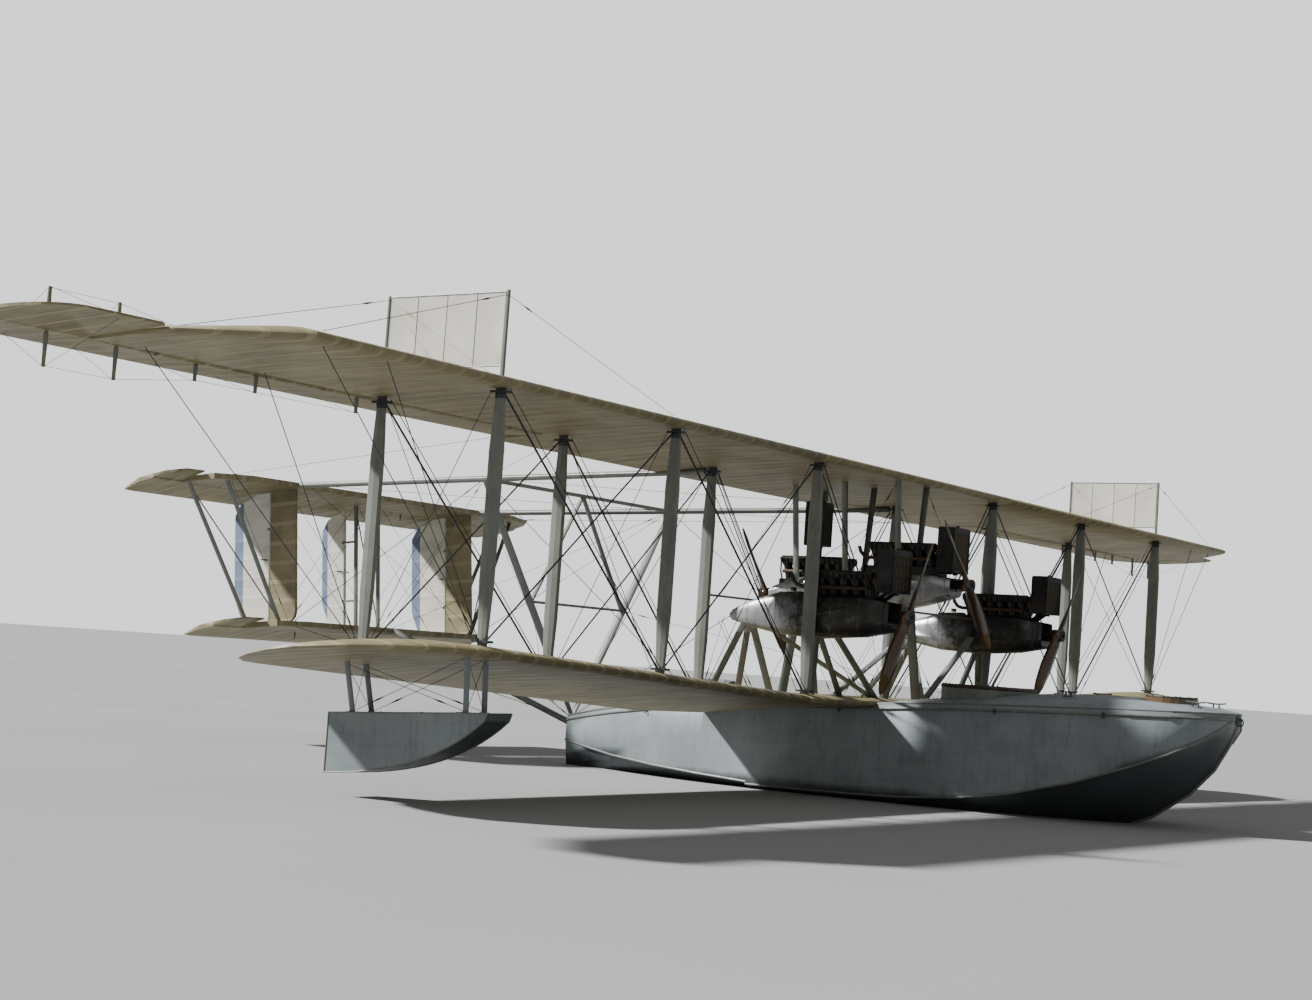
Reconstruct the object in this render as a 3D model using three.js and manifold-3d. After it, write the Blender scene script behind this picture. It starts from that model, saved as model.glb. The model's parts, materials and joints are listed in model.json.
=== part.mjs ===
// A four-engined biplane flying boat: one short hull, a biplane tail carried on booms,
// three nacelles between the wings, the middle one with an engine at each end.
// Millimetres. +X is the bow, +Y is port, +Z is up.
// The origin is on the waterline, under the centre of gravity.
import * as THREE from "three";
import { mergeVertices } from "three/addons/utils/BufferGeometryUtils.js";
import Module from "manifold-3d";

const wasm = await Module();
wasm.setup();

// Wings: the base line of each runs from under the leading edge down to the trailing edge.
const CHORD = 3658;
const WING_THICKNESS = 240;
const LEADING_EDGE_X = 1300;
const TRAILING_EDGE_X = LEADING_EDGE_X - CHORD;
const UPPER = { base: 5767, incidence: THREE.MathUtils.degToRad(3.15), dihedral: 0 };
const LOWER = { base: 1652, incidence: THREE.MathUtils.degToRad(5.5), dihedral: 0.05 };
const FRONT_SPAR_X = 1000;
const REAR_SPAR_X = -1150;
const PANEL_Y = 3700;
const JOINT_GAP = 0.4;
const UPPER_TIP_Y = 17430;

// Where each outer panel changes its chord or its depth, from the root out.
const UPPER_PANEL = [
  { y: PANEL_Y + JOINT_GAP, lead: LEADING_EDGE_X, trail: TRAILING_EDGE_X, depth: WING_THICKNESS },
  { y: 16200, lead: LEADING_EDGE_X, trail: TRAILING_EDGE_X, depth: WING_THICKNESS },
  { y: UPPER_TIP_Y, lead: 150, trail: TRAILING_EDGE_X, depth: 110 },
];
const LOWER_PANEL = [
  { y: PANEL_Y + JOINT_GAP, lead: LEADING_EDGE_X, trail: TRAILING_EDGE_X, depth: WING_THICKNESS },
  { y: 12300, lead: LEADING_EDGE_X, trail: TRAILING_EDGE_X, depth: WING_THICKNESS },
  { y: 13000, lead: 1200, trail: TRAILING_EDGE_X, depth: 225 },
  { y: 13400, lead: 1050, trail: -2300, depth: 200 },
  { y: 13800, lead: 780, trail: -2010, depth: 165 },
  { y: 14200, lead: 300, trail: -1420, depth: 110 },
  { y: 14480, lead: -250, trail: -800, depth: 50 },
];

// Ailerons, in the upper wing only
const AILERON_HINGE_X = -1400;
const AILERON_NOSE_RADIUS = 75;
const AILERON_INNER_Y = 8220;
const AILERON_GAP = 20;
const AILERON_TIP_Y = 19202;

// Interplane struts
const STRUT_STATIONS = { inner: 3480, middle: 7890, outer: 12240 };
const SPARS = { front: FRONT_SPAR_X, rear: REAR_SPAR_X };
const STRUT_CHORD = 270;
const STRUT_THICKNESS = 95;
const STAY_DIAMETER = 22;
const INCIDENCE_WIRE = 14;

// Propellers
const PROPELLER_RADIUS = 1524;
const OUTBOARD_Y = 3120;
const OUTBOARD_HUB = { x: 2670, z: 3200 };
const FRONT_HUB = { x: 2230, z: 3930 };
const REAR_HUB = { x: -2000, z: 3620 };
const HUB_LENGTH = 190;

// Tail unit, in its own frame, which then turns nose up about a point on the lower tailplane
const TAIL_PITCH = 0.1;
const TAIL_PIVOT = { x: -11750, z: 2380, raise: 30 };
const TAIL_UPPER_Z = 5230;
const TAIL_LOWER_Z = 2380;
const TAIL_THICKNESS = 110;
const TAIL_HINGE_X = -12540;
const ELEVATOR_CHORD = 1050;
const ELEVATOR_DROOP = THREE.MathUtils.degToRad(9);
const OUTER_RUDDER = { x: -12215, chord: 1000 };
const CENTRE_RUDDER = { x: -12730, chord: 650 };
const FIN_Y = 2850;
const BOOM_DIAMETER = 120;
const STERN_FRAME_X = -6500;

// Floats under the lower wing
const FLOAT_Y = 12200;
const FLOAT_WIDTH = 540;

const PAINT = {
  linen: { color: 0xcdbb8c, roughness: 0.75, metalness: 0 },
  hullGrey: { color: 0x8d949a, roughness: 0.6, metalness: 0.05 },
  strutGrey: { color: 0xaab0b3, roughness: 0.55, metalness: 0.05 },
  aluminium: { color: 0xa9abab, roughness: 0.45, metalness: 0.7 },
  engine: { color: 0x2b2b2c, roughness: 0.55, metalness: 0.6 },
  wood: { color: 0x6b4425, roughness: 0.45, metalness: 0 },
  darkWood: { color: 0x4a3a28, roughness: 0.7, metalness: 0 },
  leather: { color: 0x3a241a, roughness: 0.8, metalness: 0 },
  steel: { color: 0x33353a, roughness: 0.5, metalness: 0.7 },
  rudder: { color: 0xb9b9bd, roughness: 0.7, metalness: 0 },
};

const airframe = new THREE.Group();

// A closed geometry becomes a solid that can be cut and joined.
function toSolid(geometry) {
  const bare = new THREE.BufferGeometry();
  bare.setAttribute("position", geometry.getAttribute("position").clone());
  if (geometry.index) bare.setIndex(geometry.index.clone());
  const merged = mergeVertices(bare, 1e-3);
  const corners = merged.index.array;
  const kept = [];
  for (let i = 0; i < corners.length; i += 3) {
    const [a, b, c] = [corners[i], corners[i + 1], corners[i + 2]];
    if (a !== b && b !== c && c !== a) kept.push(a, b, c);
  }
  return new wasm.Manifold(new wasm.Mesh({
    numProp: 3,
    vertProperties: new Float32Array(merged.getAttribute("position").array),
    triVerts: new Uint32Array(kept),
  }));
}

function toGeometry(solid) {
  const mesh = solid.getMesh();
  const geometry = new THREE.BufferGeometry();
  geometry.setAttribute("position", new THREE.BufferAttribute(new Float32Array(mesh.vertProperties), 3));
  geometry.setIndex(new THREE.BufferAttribute(new Uint32Array(mesh.triVerts), 1));
  return geometry;
}

const join = (solids) => solids.reduce((sum, next) => sum.add(next));
const cut = (solid, tools) => tools.reduce((left, tool) => left.subtract(tool), solid);

// The mirror image in the plane of symmetry, with its faces still pointing out.
function mirrored(geometry) {
  const copy = geometry.clone();
  copy.scale(1, -1, 1);
  const corners = copy.index.array;
  for (let i = 0; i < corners.length; i += 3) {
    [corners[i], corners[i + 1]] = [corners[i + 1], corners[i]];
  }
  return copy;
}

function addNode(name, solid, paint, parent = airframe) {
  const geometry = solid.isBufferGeometry ? solid : toGeometry(solid);
  const mesh = new THREE.Mesh(geometry, new THREE.MeshStandardMaterial(PAINT[paint]));
  mesh.name = name;
  parent.add(mesh);
}

function addPair(name, portSolid, paint, parent = airframe) {
  const port = toGeometry(portSolid);
  addNode(`${name}_port`, port, paint, parent);
  addNode(`${name}_starboard`, mirrored(port), paint, parent);
}

function outline(points) {
  const shape = new THREE.Shape();
  points.forEach(([x, y], i) => (i ? shape.lineTo(x, y) : shape.moveTo(x, y)));
  shape.closePath();
  return shape;
}

const extrude = (shape, depth, curveSegments = 8) =>
  new THREE.ExtrudeGeometry(shape, { depth, bevelEnabled: false, curveSegments });

// A side-view shape (x, z) carried from y0 to y1.
function acrossY(shape, y0, y1) {
  return extrude(shape, y1 - y0).rotateX(Math.PI / 2).translate(0, y1, 0);
}

// A plan shape (x, y) carried from z0 to z1.
function upright(shape, z0, z1, curveSegments = 8) {
  return extrude(shape, z1 - z0, curveSegments).translate(0, 0, z0);
}

// An end-view shape (y, z) carried from x0 to x1.
function alongX(shape, x0, x1) {
  const [ahead, across, up] = [[1, 0, 0], [0, 1, 0], [0, 0, 1]].map((axis) => new THREE.Vector3(...axis));
  const turn = new THREE.Matrix4().makeBasis(across, up, ahead);
  return extrude(shape, x1 - x0).applyMatrix4(turn).translate(x0, 0, 0);
}

function box(size, centre) {
  return toSolid(new THREE.BoxGeometry(...size).translate(...centre));
}

// Hinges: an arm from the fixed part ends in a pin that meets the walls of a notch in the moving surface.
const HINGE = { arm: 40, notch: 60, pin: 28, boss: 56 };

// The arm lies along X from the fixed part to the axis; the pin lies along Y, or along Z when upright.
function hingeArm(axis, reach, along) {
  const [x, y, z] = axis;
  const size = along === "y" ? [reach, HINGE.arm, HINGE.boss] : [reach, HINGE.boss, HINGE.arm];
  const half = HINGE.notch / 2 - JOINT_GAP;
  const ends = along === "y" ? [[x, y - half, z], [x, y + half, z]] : [[x, y, z - half], [x, y, z + half]];
  const bossHalf = HINGE.arm / 2;
  const boss = along === "y"
    ? bar([x, y - bossHalf, z], [x, y + bossHalf, z], HINGE.boss, HINGE.boss, { sides: 8 })
    : bar([x, y, z - bossHalf], [x, y, z + bossHalf], HINGE.boss, HINGE.boss, { sides: 8 });
  return join([box(size, [x + reach / 2, y, z]), boss, bar(...ends, HINGE.pin, HINGE.pin, { sides: 6 })]);
}

// The notch is wide enough behind the axis for the boss and open towards the fixed part.
function hingeNotch([x, y, z], along) {
  const depth = HINGE.boss / 2 + 8;
  const size = along === "y" ? [300, HINGE.notch, 400] : [300, 400, HINGE.notch];
  return box(size, [x - depth + 150, y, z]);
}

// A strut or tube between two points: flattened along its way by chord and thickness, with tapered ends.
function bar(from, to, chord, thickness = chord, { taper = 1, sides = 10 } = {}) {
  const start = new THREE.Vector3(...from);
  const along = new THREE.Vector3(...to).sub(start);
  const length = along.length();
  along.normalize();
  const r = 0.5;
  const profile = taper === 1
    ? [[0, 0], [r, 0], [r, length], [0, length]]
    : [[0, 0], [taper * r, 0], [r, 0.25 * length], [r, 0.75 * length], [taper * r, length], [0, length]];
  const geometry = new THREE.LatheGeometry(profile.map(([x, y]) => new THREE.Vector2(x, y)), sides);
  geometry.scale(chord, 1, thickness);
  const hint = Math.abs(along.x) > 0.8 ? new THREE.Vector3(0, 0, 1) : new THREE.Vector3(1, 0, 0);
  const wide = hint.addScaledVector(along, -hint.dot(along)).normalize();
  const frame = new THREE.Matrix4().makeBasis(wide, along, wide.clone().cross(along));
  return toSolid(geometry.applyMatrix4(frame.setPosition(start)));
}

// Six times the volume inside a closed skin, negative where its faces point inwards.
function signedVolume(points, faces) {
  let sum = 0;
  for (let i = 0; i < faces.length; i += 3) {
    const [a, b, c] = faces.slice(i, i + 3).map((k) => new THREE.Vector3(...points[k]));
    sum += a.dot(b.cross(c));
  }
  return sum;
}

// A closed skin over rings of equal length, each ring a list of points round one section.
function loft(rings) {
  const count = rings[0].length;
  const points = rings.flat();
  const faces = [];
  for (let ring = 0; ring + 1 < rings.length; ring += 1) {
    for (let i = 0; i < count; i += 1) {
      const next = (i + 1) % count;
      const [a, b] = [ring * count + i, ring * count + next];
      faces.push(a, b, b + count, a, b + count, a + count);
    }
  }
  const last = (rings.length - 1) * count;
  for (let i = 1; i + 1 < count; i += 1) {
    faces.push(0, i + 1, i);
    faces.push(last, last + i, last + i + 1);
  }
  if (signedVolume(points, faces) < 0) faces.reverse();
  const geometry = new THREE.BufferGeometry();
  geometry.setAttribute("position", new THREE.BufferAttribute(new Float32Array(points.flat()), 3));
  geometry.setIndex(faces);
  return toSolid(geometry);
}

// Wing section: part of the chord back from the leading edge, part of the depth above the base line,
// and the way (ahead, up) in which the point moves when the section is grown.
const AEROFOIL = [
  [0, 0.3, 1, 0], [0.008, 0.12, 1, -1], [0.035, 0, 0, -1], [0.3, 0.16, 0, -1], [0.65, 0.14, 0, -1],
  [1, 0, -1, -1], [1, 0.06, -1, 1], [0.85, 0.42, 0, 1], [0.7, 0.68, 0, 1], [0.5, 0.91, 0, 1],
  [0.32, 1, 0, 1], [0.18, 0.95, 0, 1], [0.08, 0.76, 0, 1], [0.03, 0.56, 0, 1], [0.008, 0.42, 1, 1],
];
const SPAR_DEPTH = 0.72 * WING_THICKNESS;

// Height of a wing's base line; the outer panels of the lower wing rise by the dihedral.
function baseLine(wing, x, y = 0) {
  const rise = Math.max(0, Math.abs(y) - PANEL_Y) * Math.tan(wing.dihedral);
  return wing.base - (LEADING_EDGE_X - x) * Math.tan(wing.incidence) + rise;
}

// A wing skin over its stations, grown all round by a margin when it is used as a cutter.
function wingPanel(wing, stations, margin = 0) {
  return loft(stations.map(({ y, lead, trail, depth }) => AEROFOIL.map(([s, h, ahead, up]) => {
    const x = lead - s * (lead - trail);
    return [x + margin * ahead, y, baseLine(wing, x, y) + h * depth + margin * up];
  })));
}

const fullChord = (y) => ({ y, lead: LEADING_EDGE_X, trail: TRAILING_EDGE_X, depth: WING_THICKNESS });

// The aileron's place in the port upper panel.
function aileronCutter() {
  const front = AILERON_HINGE_X + AILERON_NOSE_RADIUS + AILERON_GAP;
  const plan = outline([
    [front, AILERON_INNER_Y - AILERON_GAP], [front, UPPER_TIP_Y + 100],
    [TRAILING_EDGE_X - 50, UPPER_TIP_Y + 100], [TRAILING_EDGE_X - 50, AILERON_INNER_Y - AILERON_GAP],
  ]);
  return toSolid(upright(plan, UPPER.base - 600, UPPER.base + 600));
}

const AILERON_HINGE_Z = baseLine(UPPER, AILERON_HINGE_X) + 80;
const AILERON_HINGES = [9000, 13200, 16300].map((y) => [AILERON_HINGE_X, y, AILERON_HINGE_Z]);

function buildWings() {
  addNode("upper_wing_centre", wingPanel(UPPER, [fullChord(-PANEL_Y), fullChord(PANEL_Y)]), "linen");
  addNode("lower_wing_centre", wingPanel(LOWER, [fullChord(-PANEL_Y), fullChord(PANEL_Y)]), "linen");
  const arms = AILERON_HINGES.map((axis) => hingeArm(axis, AILERON_NOSE_RADIUS + AILERON_GAP + 20, "y"));
  addPair("upper_wing", join([wingPanel(UPPER, UPPER_PANEL).subtract(aileronCutter()), ...arms]), "linen");
  addPair("lower_wing", wingPanel(LOWER, LOWER_PANEL), "linen");
}

// Grown copies of the port wings and of the centre panels, to trim what stands on them or hangs below them.
const upperCutter = wingPanel(UPPER, [fullChord(-PANEL_Y), fullChord(UPPER_TIP_Y)], JOINT_GAP);
const lowerStations = [fullChord(-PANEL_Y), fullChord(PANEL_Y), ...LOWER_PANEL.slice(1)];
const lowerCutter = wingPanel(LOWER, lowerStations, JOINT_GAP);
const upperUnderside = (x) => baseLine(UPPER, x);
const lowerUnderside = (x, y) => baseLine(LOWER, x, y);
const lowerTop = (x, y) => baseLine(LOWER, x, y) + SPAR_DEPTH;

const MAST_STATIONS = [
  { y: 18050, reach: 480 },
  { y: 16950, reach: 480 },
  { y: 15600, reach: 290 },
  { y: 14500, reach: 290 },
  { y: 12500, reach: 290 },
];

// The aileron thins outwards from the wing's rake, and its balance reaches forward past the wing's end.
const AILERON_SECTIONS = [
  { y: AILERON_INNER_Y, nose: AILERON_NOSE_RADIUS },
  { y: 16200, nose: AILERON_NOSE_RADIUS },
  { y: UPPER_TIP_Y, nose: 48 },
  { y: AILERON_TIP_Y, nose: 30 },
];

function controlSection(y, nose, chord, edge) {
  const arc = [-90, -50, 0, 50, 90].map((degrees) => {
    const angle = THREE.MathUtils.degToRad(degrees);
    return [nose * Math.cos(angle), y, nose * Math.sin(angle)];
  });
  return [...arc, [-chord, y, edge], [-chord, y, -edge]];
}

function aileronPlan() {
  const inner = UPPER_TIP_Y + AILERON_GAP;
  const hinge = AILERON_HINGE_X;
  const plan = new THREE.Shape();
  plan.moveTo(TRAILING_EDGE_X - 100, AILERON_INNER_Y - 10);
  plan.lineTo(hinge + 200, AILERON_INNER_Y - 10);
  plan.lineTo(hinge + 200, inner);
  plan.lineTo(0, inner);
  plan.lineTo(80, inner + 120);
  plan.lineTo(40, AILERON_TIP_Y - 520);
  plan.quadraticCurveTo(-40, AILERON_TIP_Y - 120, -700, AILERON_TIP_Y - 20);
  plan.quadraticCurveTo(-1300, AILERON_TIP_Y + 20, -1650, AILERON_TIP_Y - 180);
  plan.lineTo(TRAILING_EDGE_X, 18000);
  plan.lineTo(TRAILING_EDGE_X - 100, 18000);
  plan.closePath();
  return plan;
}

function buildAilerons() {
  const chord = AILERON_HINGE_X - TRAILING_EDGE_X;
  const blade = loft(AILERON_SECTIONS.map(({ y, nose }) => controlSection(y, nose, chord, 8)));
  const horn = outline([[-300, -25], [0, -28], [1550, -12], [1550, 12], [0, 28], [-300, 25]]);
  const place = (solid) => toSolid(toGeometry(solid).rotateY(-UPPER.incidence)
    .translate(AILERON_HINGE_X, 0, AILERON_HINGE_Z));
  const balance = toSolid(acrossY(horn, UPPER_TIP_Y + AILERON_GAP, AILERON_TIP_Y));
  const planCutter = toSolid(upright(aileronPlan(), AILERON_HINGE_Z - 700, AILERON_HINGE_Z + 700));
  const masts = MAST_STATIONS.map(({ y, reach }) => bar(
    [AILERON_HINGE_X, y, AILERON_HINGE_Z - reach], [AILERON_HINGE_X, y, AILERON_HINGE_Z + reach],
    60, 40, { sides: 6 },
  ));
  const notches = AILERON_HINGES.map((axis) => hingeNotch(axis, "y"));
  const surface = join([place(blade), place(balance)]).intersect(planCutter);
  addPair("aileron", cut(join([surface, ...masts]), notches), "linen");
}

function strutBar(x, y, margin = 0) {
  return bar(
    [x, y, lowerTop(x, y) - 60], [x, y, upperUnderside(x) + 90],
    STRUT_CHORD + 2 * margin, STRUT_THICKNESS + 2 * margin, { taper: 0.6, sides: 8 },
  );
}

function buildInterplaneStruts() {
  for (const [station, y] of Object.entries(STRUT_STATIONS)) {
    for (const [spar, x] of Object.entries(SPARS)) {
      addPair(`strut_${spar}_${station}`, cut(strutBar(x, y), [upperCutter, lowerCutter]), "strutGrey");
    }
  }
}

// Flying, landing and incidence wires of one side, joined by the sockets round the strut ends.
const SOCKET = { height: 34, around: 44, foot: 64, head: 44, wire: 12 };

function buildStays() {
  const stations = Object.values(STRUT_STATIONS);
  const foot = (x, y) => lowerTop(x, y) + SOCKET.foot;
  const head = (x) => upperUnderside(x) - SOCKET.head;
  const socket = (x, y, z) => box([STRUT_CHORD, STRUT_THICKNESS + SOCKET.around, SOCKET.height], [x, y, z]);
  const wire = (from, to, size) => bar(from, to, size, size, { sides: 4 });
  const parts = [];
  for (const x of Object.values(SPARS)) {
    stations.forEach((y, i) => {
      parts.push(socket(x, y, foot(x, y)), socket(x, y, head(x)));
      const outer = stations[i + 1];
      if (outer === undefined) return;
      const inside = y + STRUT_THICKNESS / 2 + SOCKET.wire;
      const outside = outer - STRUT_THICKNESS / 2 - SOCKET.wire;
      parts.push(wire([x, inside, foot(x, y)], [x, outside, head(x)], STAY_DIAMETER));
      parts.push(wire([x, inside, head(x)], [x, outside, foot(x, outer)], STAY_DIAMETER));
    });
  }
  const rearX = SPARS.rear + STRUT_CHORD / 2 - 10;
  const frontX = SPARS.front - STRUT_CHORD / 2 + 10;
  for (const y of stations) {
    const side = y + STRUT_THICKNESS / 2 + SOCKET.wire;
    parts.push(wire([rearX, side, foot(SPARS.rear, y)], [frontX, side, head(SPARS.front)], INCIDENCE_WIRE));
    parts.push(wire([rearX, side, head(SPARS.rear)], [frontX, side, foot(SPARS.front, y)], INCIDENCE_WIRE));
  }
  const struts = stations.flatMap((y) => Object.values(SPARS).map((x) => strutBar(x, y, JOINT_GAP)));
  addPair("wing_stays", cut(join(parts), [...struts, upperCutter, lowerCutter]), "steel");
}

// Hull lines, bow to stern: x, keel z, chine y, chine z, deck edge y, deck edge z, deck centre z.
const HULL_STATIONS = [
  [7300, 1760, 160, 1880, 170, 1965, 1985],
  [7190, 1450, 520, 1700, 540, 1965, 2010],
  [6950, 1020, 850, 1480, 860, 1960, 2050],
  [6550, 590, 1140, 1240, 1100, 1950, 2090],
  [5900, 140, 1370, 960, 1290, 1930, 2130],
  [5000, -210, 1490, 640, 1400, 1895, 2150],
  [4000, -410, 1525, 390, 1460, 1860, 2100],
  [3000, -520, 1525, 220, 1490, 1820, 2010],
  [1900, -555, 1525, 130, 1495, 1760, 1880],
  [1000, -560, 1525, 100, 1490, 1690, 1705],
  [0, -560, 1525, 85, 1470, 1640, 1660],
  [-1250, -560, 1525, 80, 1440, 1570, 1600],
  [-1260, -430, 1500, 120, 1440, 1569, 1600],
  [-2400, -360, 1370, 170, 1330, 1500, 1640],
  [-3600, -270, 1120, 230, 1080, 1390, 1560],
  [-4800, -170, 790, 320, 740, 1240, 1360],
  [-5700, -90, 460, 420, 400, 1110, 1170],
  [-6440, -20, 90, 500, 70, 990, 1000],
];

function hullRing([x, keelZ, chineY, chineZ, deckY, deckZ, crownZ], margin) {
  const half = [
    [0, keelZ], [chineY * 0.5, keelZ + (chineZ - keelZ) * 0.47], [chineY, chineZ],
    [(chineY + deckY) / 2 + 10, (chineZ + deckZ) / 2], [deckY, deckZ - 90], [deckY * 0.95, deckZ],
    [deckY * 0.55, deckZ + (crownZ - deckZ) * 0.75], [0, crownZ],
  ];
  const grown = half.map(([y, z]) => {
    const across = y === 0 ? 0 : Math.max(10, y) + margin;
    return [across, z > chineZ ? z + margin : z - margin];
  });
  const starboard = grown.slice(1, -1).reverse().map(([y, z]) => [x, -y, z]);
  return [...grown.map(([y, z]) => [x, y, z]), ...starboard];
}

const hullForm = (margin = 0) => loft(HULL_STATIONS.map((row) => hullRing(row, margin)));

const BOW_COCKPIT = { x: 6150, radius: 380, floorZ: 1100, rim: 60, foot: 1950, top: 2165 };
const PILOT_COCKPIT = {
  x0: 2250, x1: 3350, halfWidth: 900, corner: 250, floorZ: 1000, rim: 60, foot: 1750, top: 2110,
};
const ABOVE_DECK = 2600;
const SEATS = {
  bench: [420, 1500, 60], benchRise: 250, leg: [380, 420, 220], back: [70, 480, 560], backRise: 520,
  x: 2700, backX: 2500, y: 450,
};
const AFT_HATCH = { x: -3050, z: 1500, radius: 380, length: 900, stretch: 1.1 };

function cockpitWell(z0, z1, grow = 0) {
  const { x0, x1, halfWidth } = PILOT_COCKPIT;
  const r = PILOT_COCKPIT.corner + grow;
  const [a, b, w] = [x0 - grow, x1 + grow, halfWidth + grow];
  const shape = new THREE.Shape();
  shape.moveTo(a + r, -w);
  shape.lineTo(b - r, -w);
  shape.absarc(b - r, -w + r, r, -Math.PI / 2, 0, false);
  shape.lineTo(b, w - r);
  shape.absarc(b - r, w - r, r, 0, Math.PI / 2, false);
  shape.lineTo(a + r, w);
  shape.absarc(a + r, w - r, r, Math.PI / 2, Math.PI, false);
  shape.lineTo(a, -w + r);
  shape.absarc(a + r, -w + r, r, Math.PI, 1.5 * Math.PI, false);
  return toSolid(upright(shape, z0, z1, 3));
}

function disc(x, radius, z0, z1, sides = 20) {
  const geometry = new THREE.CylinderGeometry(radius, radius, z1 - z0, sides).rotateX(Math.PI / 2);
  return toSolid(geometry.translate(x, 0, (z0 + z1) / 2));
}

function buildHull() {
  const bow = BOW_COCKPIT;
  const bowWell = disc(bow.x, bow.radius, bow.floorZ, ABOVE_DECK);
  const pilotWell = cockpitWell(PILOT_COCKPIT.floorZ, ABOVE_DECK);
  addNode("hull", cut(hullForm(), [bowWell, pilotWell, lowerCutter]), "hullGrey");
  const grownHull = hullForm(JOINT_GAP);
  const ring = disc(bow.x, bow.radius + bow.rim, bow.foot, bow.top);
  addNode("bow_cockpit_ring", cut(ring, [bowWell, grownHull]), "darkWood");
  const coaming = cockpitWell(PILOT_COCKPIT.foot, PILOT_COCKPIT.top, PILOT_COCKPIT.rim);
  addNode("pilot_cockpit_coaming", cut(coaming, [pilotWell, grownHull]), "leather");
  const seatZ = PILOT_COCKPIT.floorZ + JOINT_GAP;
  const bench = box(SEATS.bench, [SEATS.x, 0, seatZ + SEATS.benchRise]);
  const legs = [-1, 1].map((side) => box(SEATS.leg, [SEATS.x, side * SEATS.y, seatZ + SEATS.leg[2] / 2]));
  const backs = [-1, 1].map((side) => box(SEATS.back, [SEATS.backX, side * SEATS.y, seatZ + SEATS.backRise]));
  addNode("pilot_seats", join([bench, ...legs, ...backs]), "leather");
  const { x, z, radius, length, stretch } = AFT_HATCH;
  const hatch = new THREE.CylinderGeometry(radius, radius, length, 20).rotateZ(Math.PI / 2)
    .scale(1, 1, stretch).translate(x, 0, z);
  addNode("aft_hatch", toSolid(hatch).subtract(grownHull), "hullGrey");
}

// A propeller with two blades, broad at two thirds of the radius and turned to a pitch that falls outward.
function propeller(hub, y, tilt) {
  const blade = [
    { r: 60, chord: 150, thick: 110, pitch: 70 },
    { r: 350, chord: 210, thick: 80, pitch: 48 },
    { r: 800, chord: 270, thick: 48, pitch: 30 },
    { r: 1200, chord: 235, thick: 30, pitch: 22 },
    { r: 1460, chord: 130, thick: 18, pitch: 18 },
    { r: PROPELLER_RADIUS, chord: 40, thick: 12, pitch: 17 },
  ];
  const rings = blade.map(({ r, chord, thick, pitch }) => {
    const turn = THREE.MathUtils.degToRad(pitch - 90);
    return [[0.5, 0], [0.25, 0.5], [-0.2, 0.5], [-0.5, 0], [-0.2, -0.3], [0.25, -0.3]].map(([c, t]) => {
      const [u, v] = [c * chord, t * thick];
      return [u * Math.cos(turn) - v * Math.sin(turn), u * Math.sin(turn) + v * Math.cos(turn), r];
    });
  });
  const one = loft(rings);
  const placed = (angle) => {
    const geometry = toGeometry(one).rotateX(angle);
    return toSolid(geometry.translate(hub.x, y, hub.z));
  };
  const boss = toSolid(new THREE.CylinderGeometry(115, 115, HUB_LENGTH, 20).rotateZ(Math.PI / 2)
    .translate(hub.x, y, hub.z));
  return join([boss, placed(tilt), placed(tilt + Math.PI)]);
}

// A V-12 with its airscrew shaft on the hub's line; facing is 1 for a tractor and -1 for a pusher.
// The radiator's middle is back from the hub, and its foot rises above the hub's line.
const ENGINE = { length: 1450, width: 400, below: 120, above: 300, cylinder: 75, bank: 440, lean: 0.39 };
const CYLINDERS = { first: 170, pitch: 222, foot: 40, offset: 60 };
const CAMSHAFT = { length: 1340, width: 125, height: 105 };
const INTAKE = { width: 110, height: 120, rise: 560 };
const ENGINES = {
  engine_port: {
    hub: OUTBOARD_HUB, y: OUTBOARD_Y, facing: 1, nose: 420,
    radiator: { back: 290, rise: 390, length: 300, width: 640, height: 710 },
  },
  engine_front: {
    hub: FRONT_HUB, y: 0, facing: 1, nose: 420,
    radiator: { back: 320, rise: 210, length: 300, width: 640, height: 810 },
  },
  engine_rear: {
    hub: REAR_HUB, y: 0, facing: -1, nose: 300,
    radiator: { back: 1070, rise: 940, length: 300, width: 480, height: 820 },
  },
};

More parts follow.
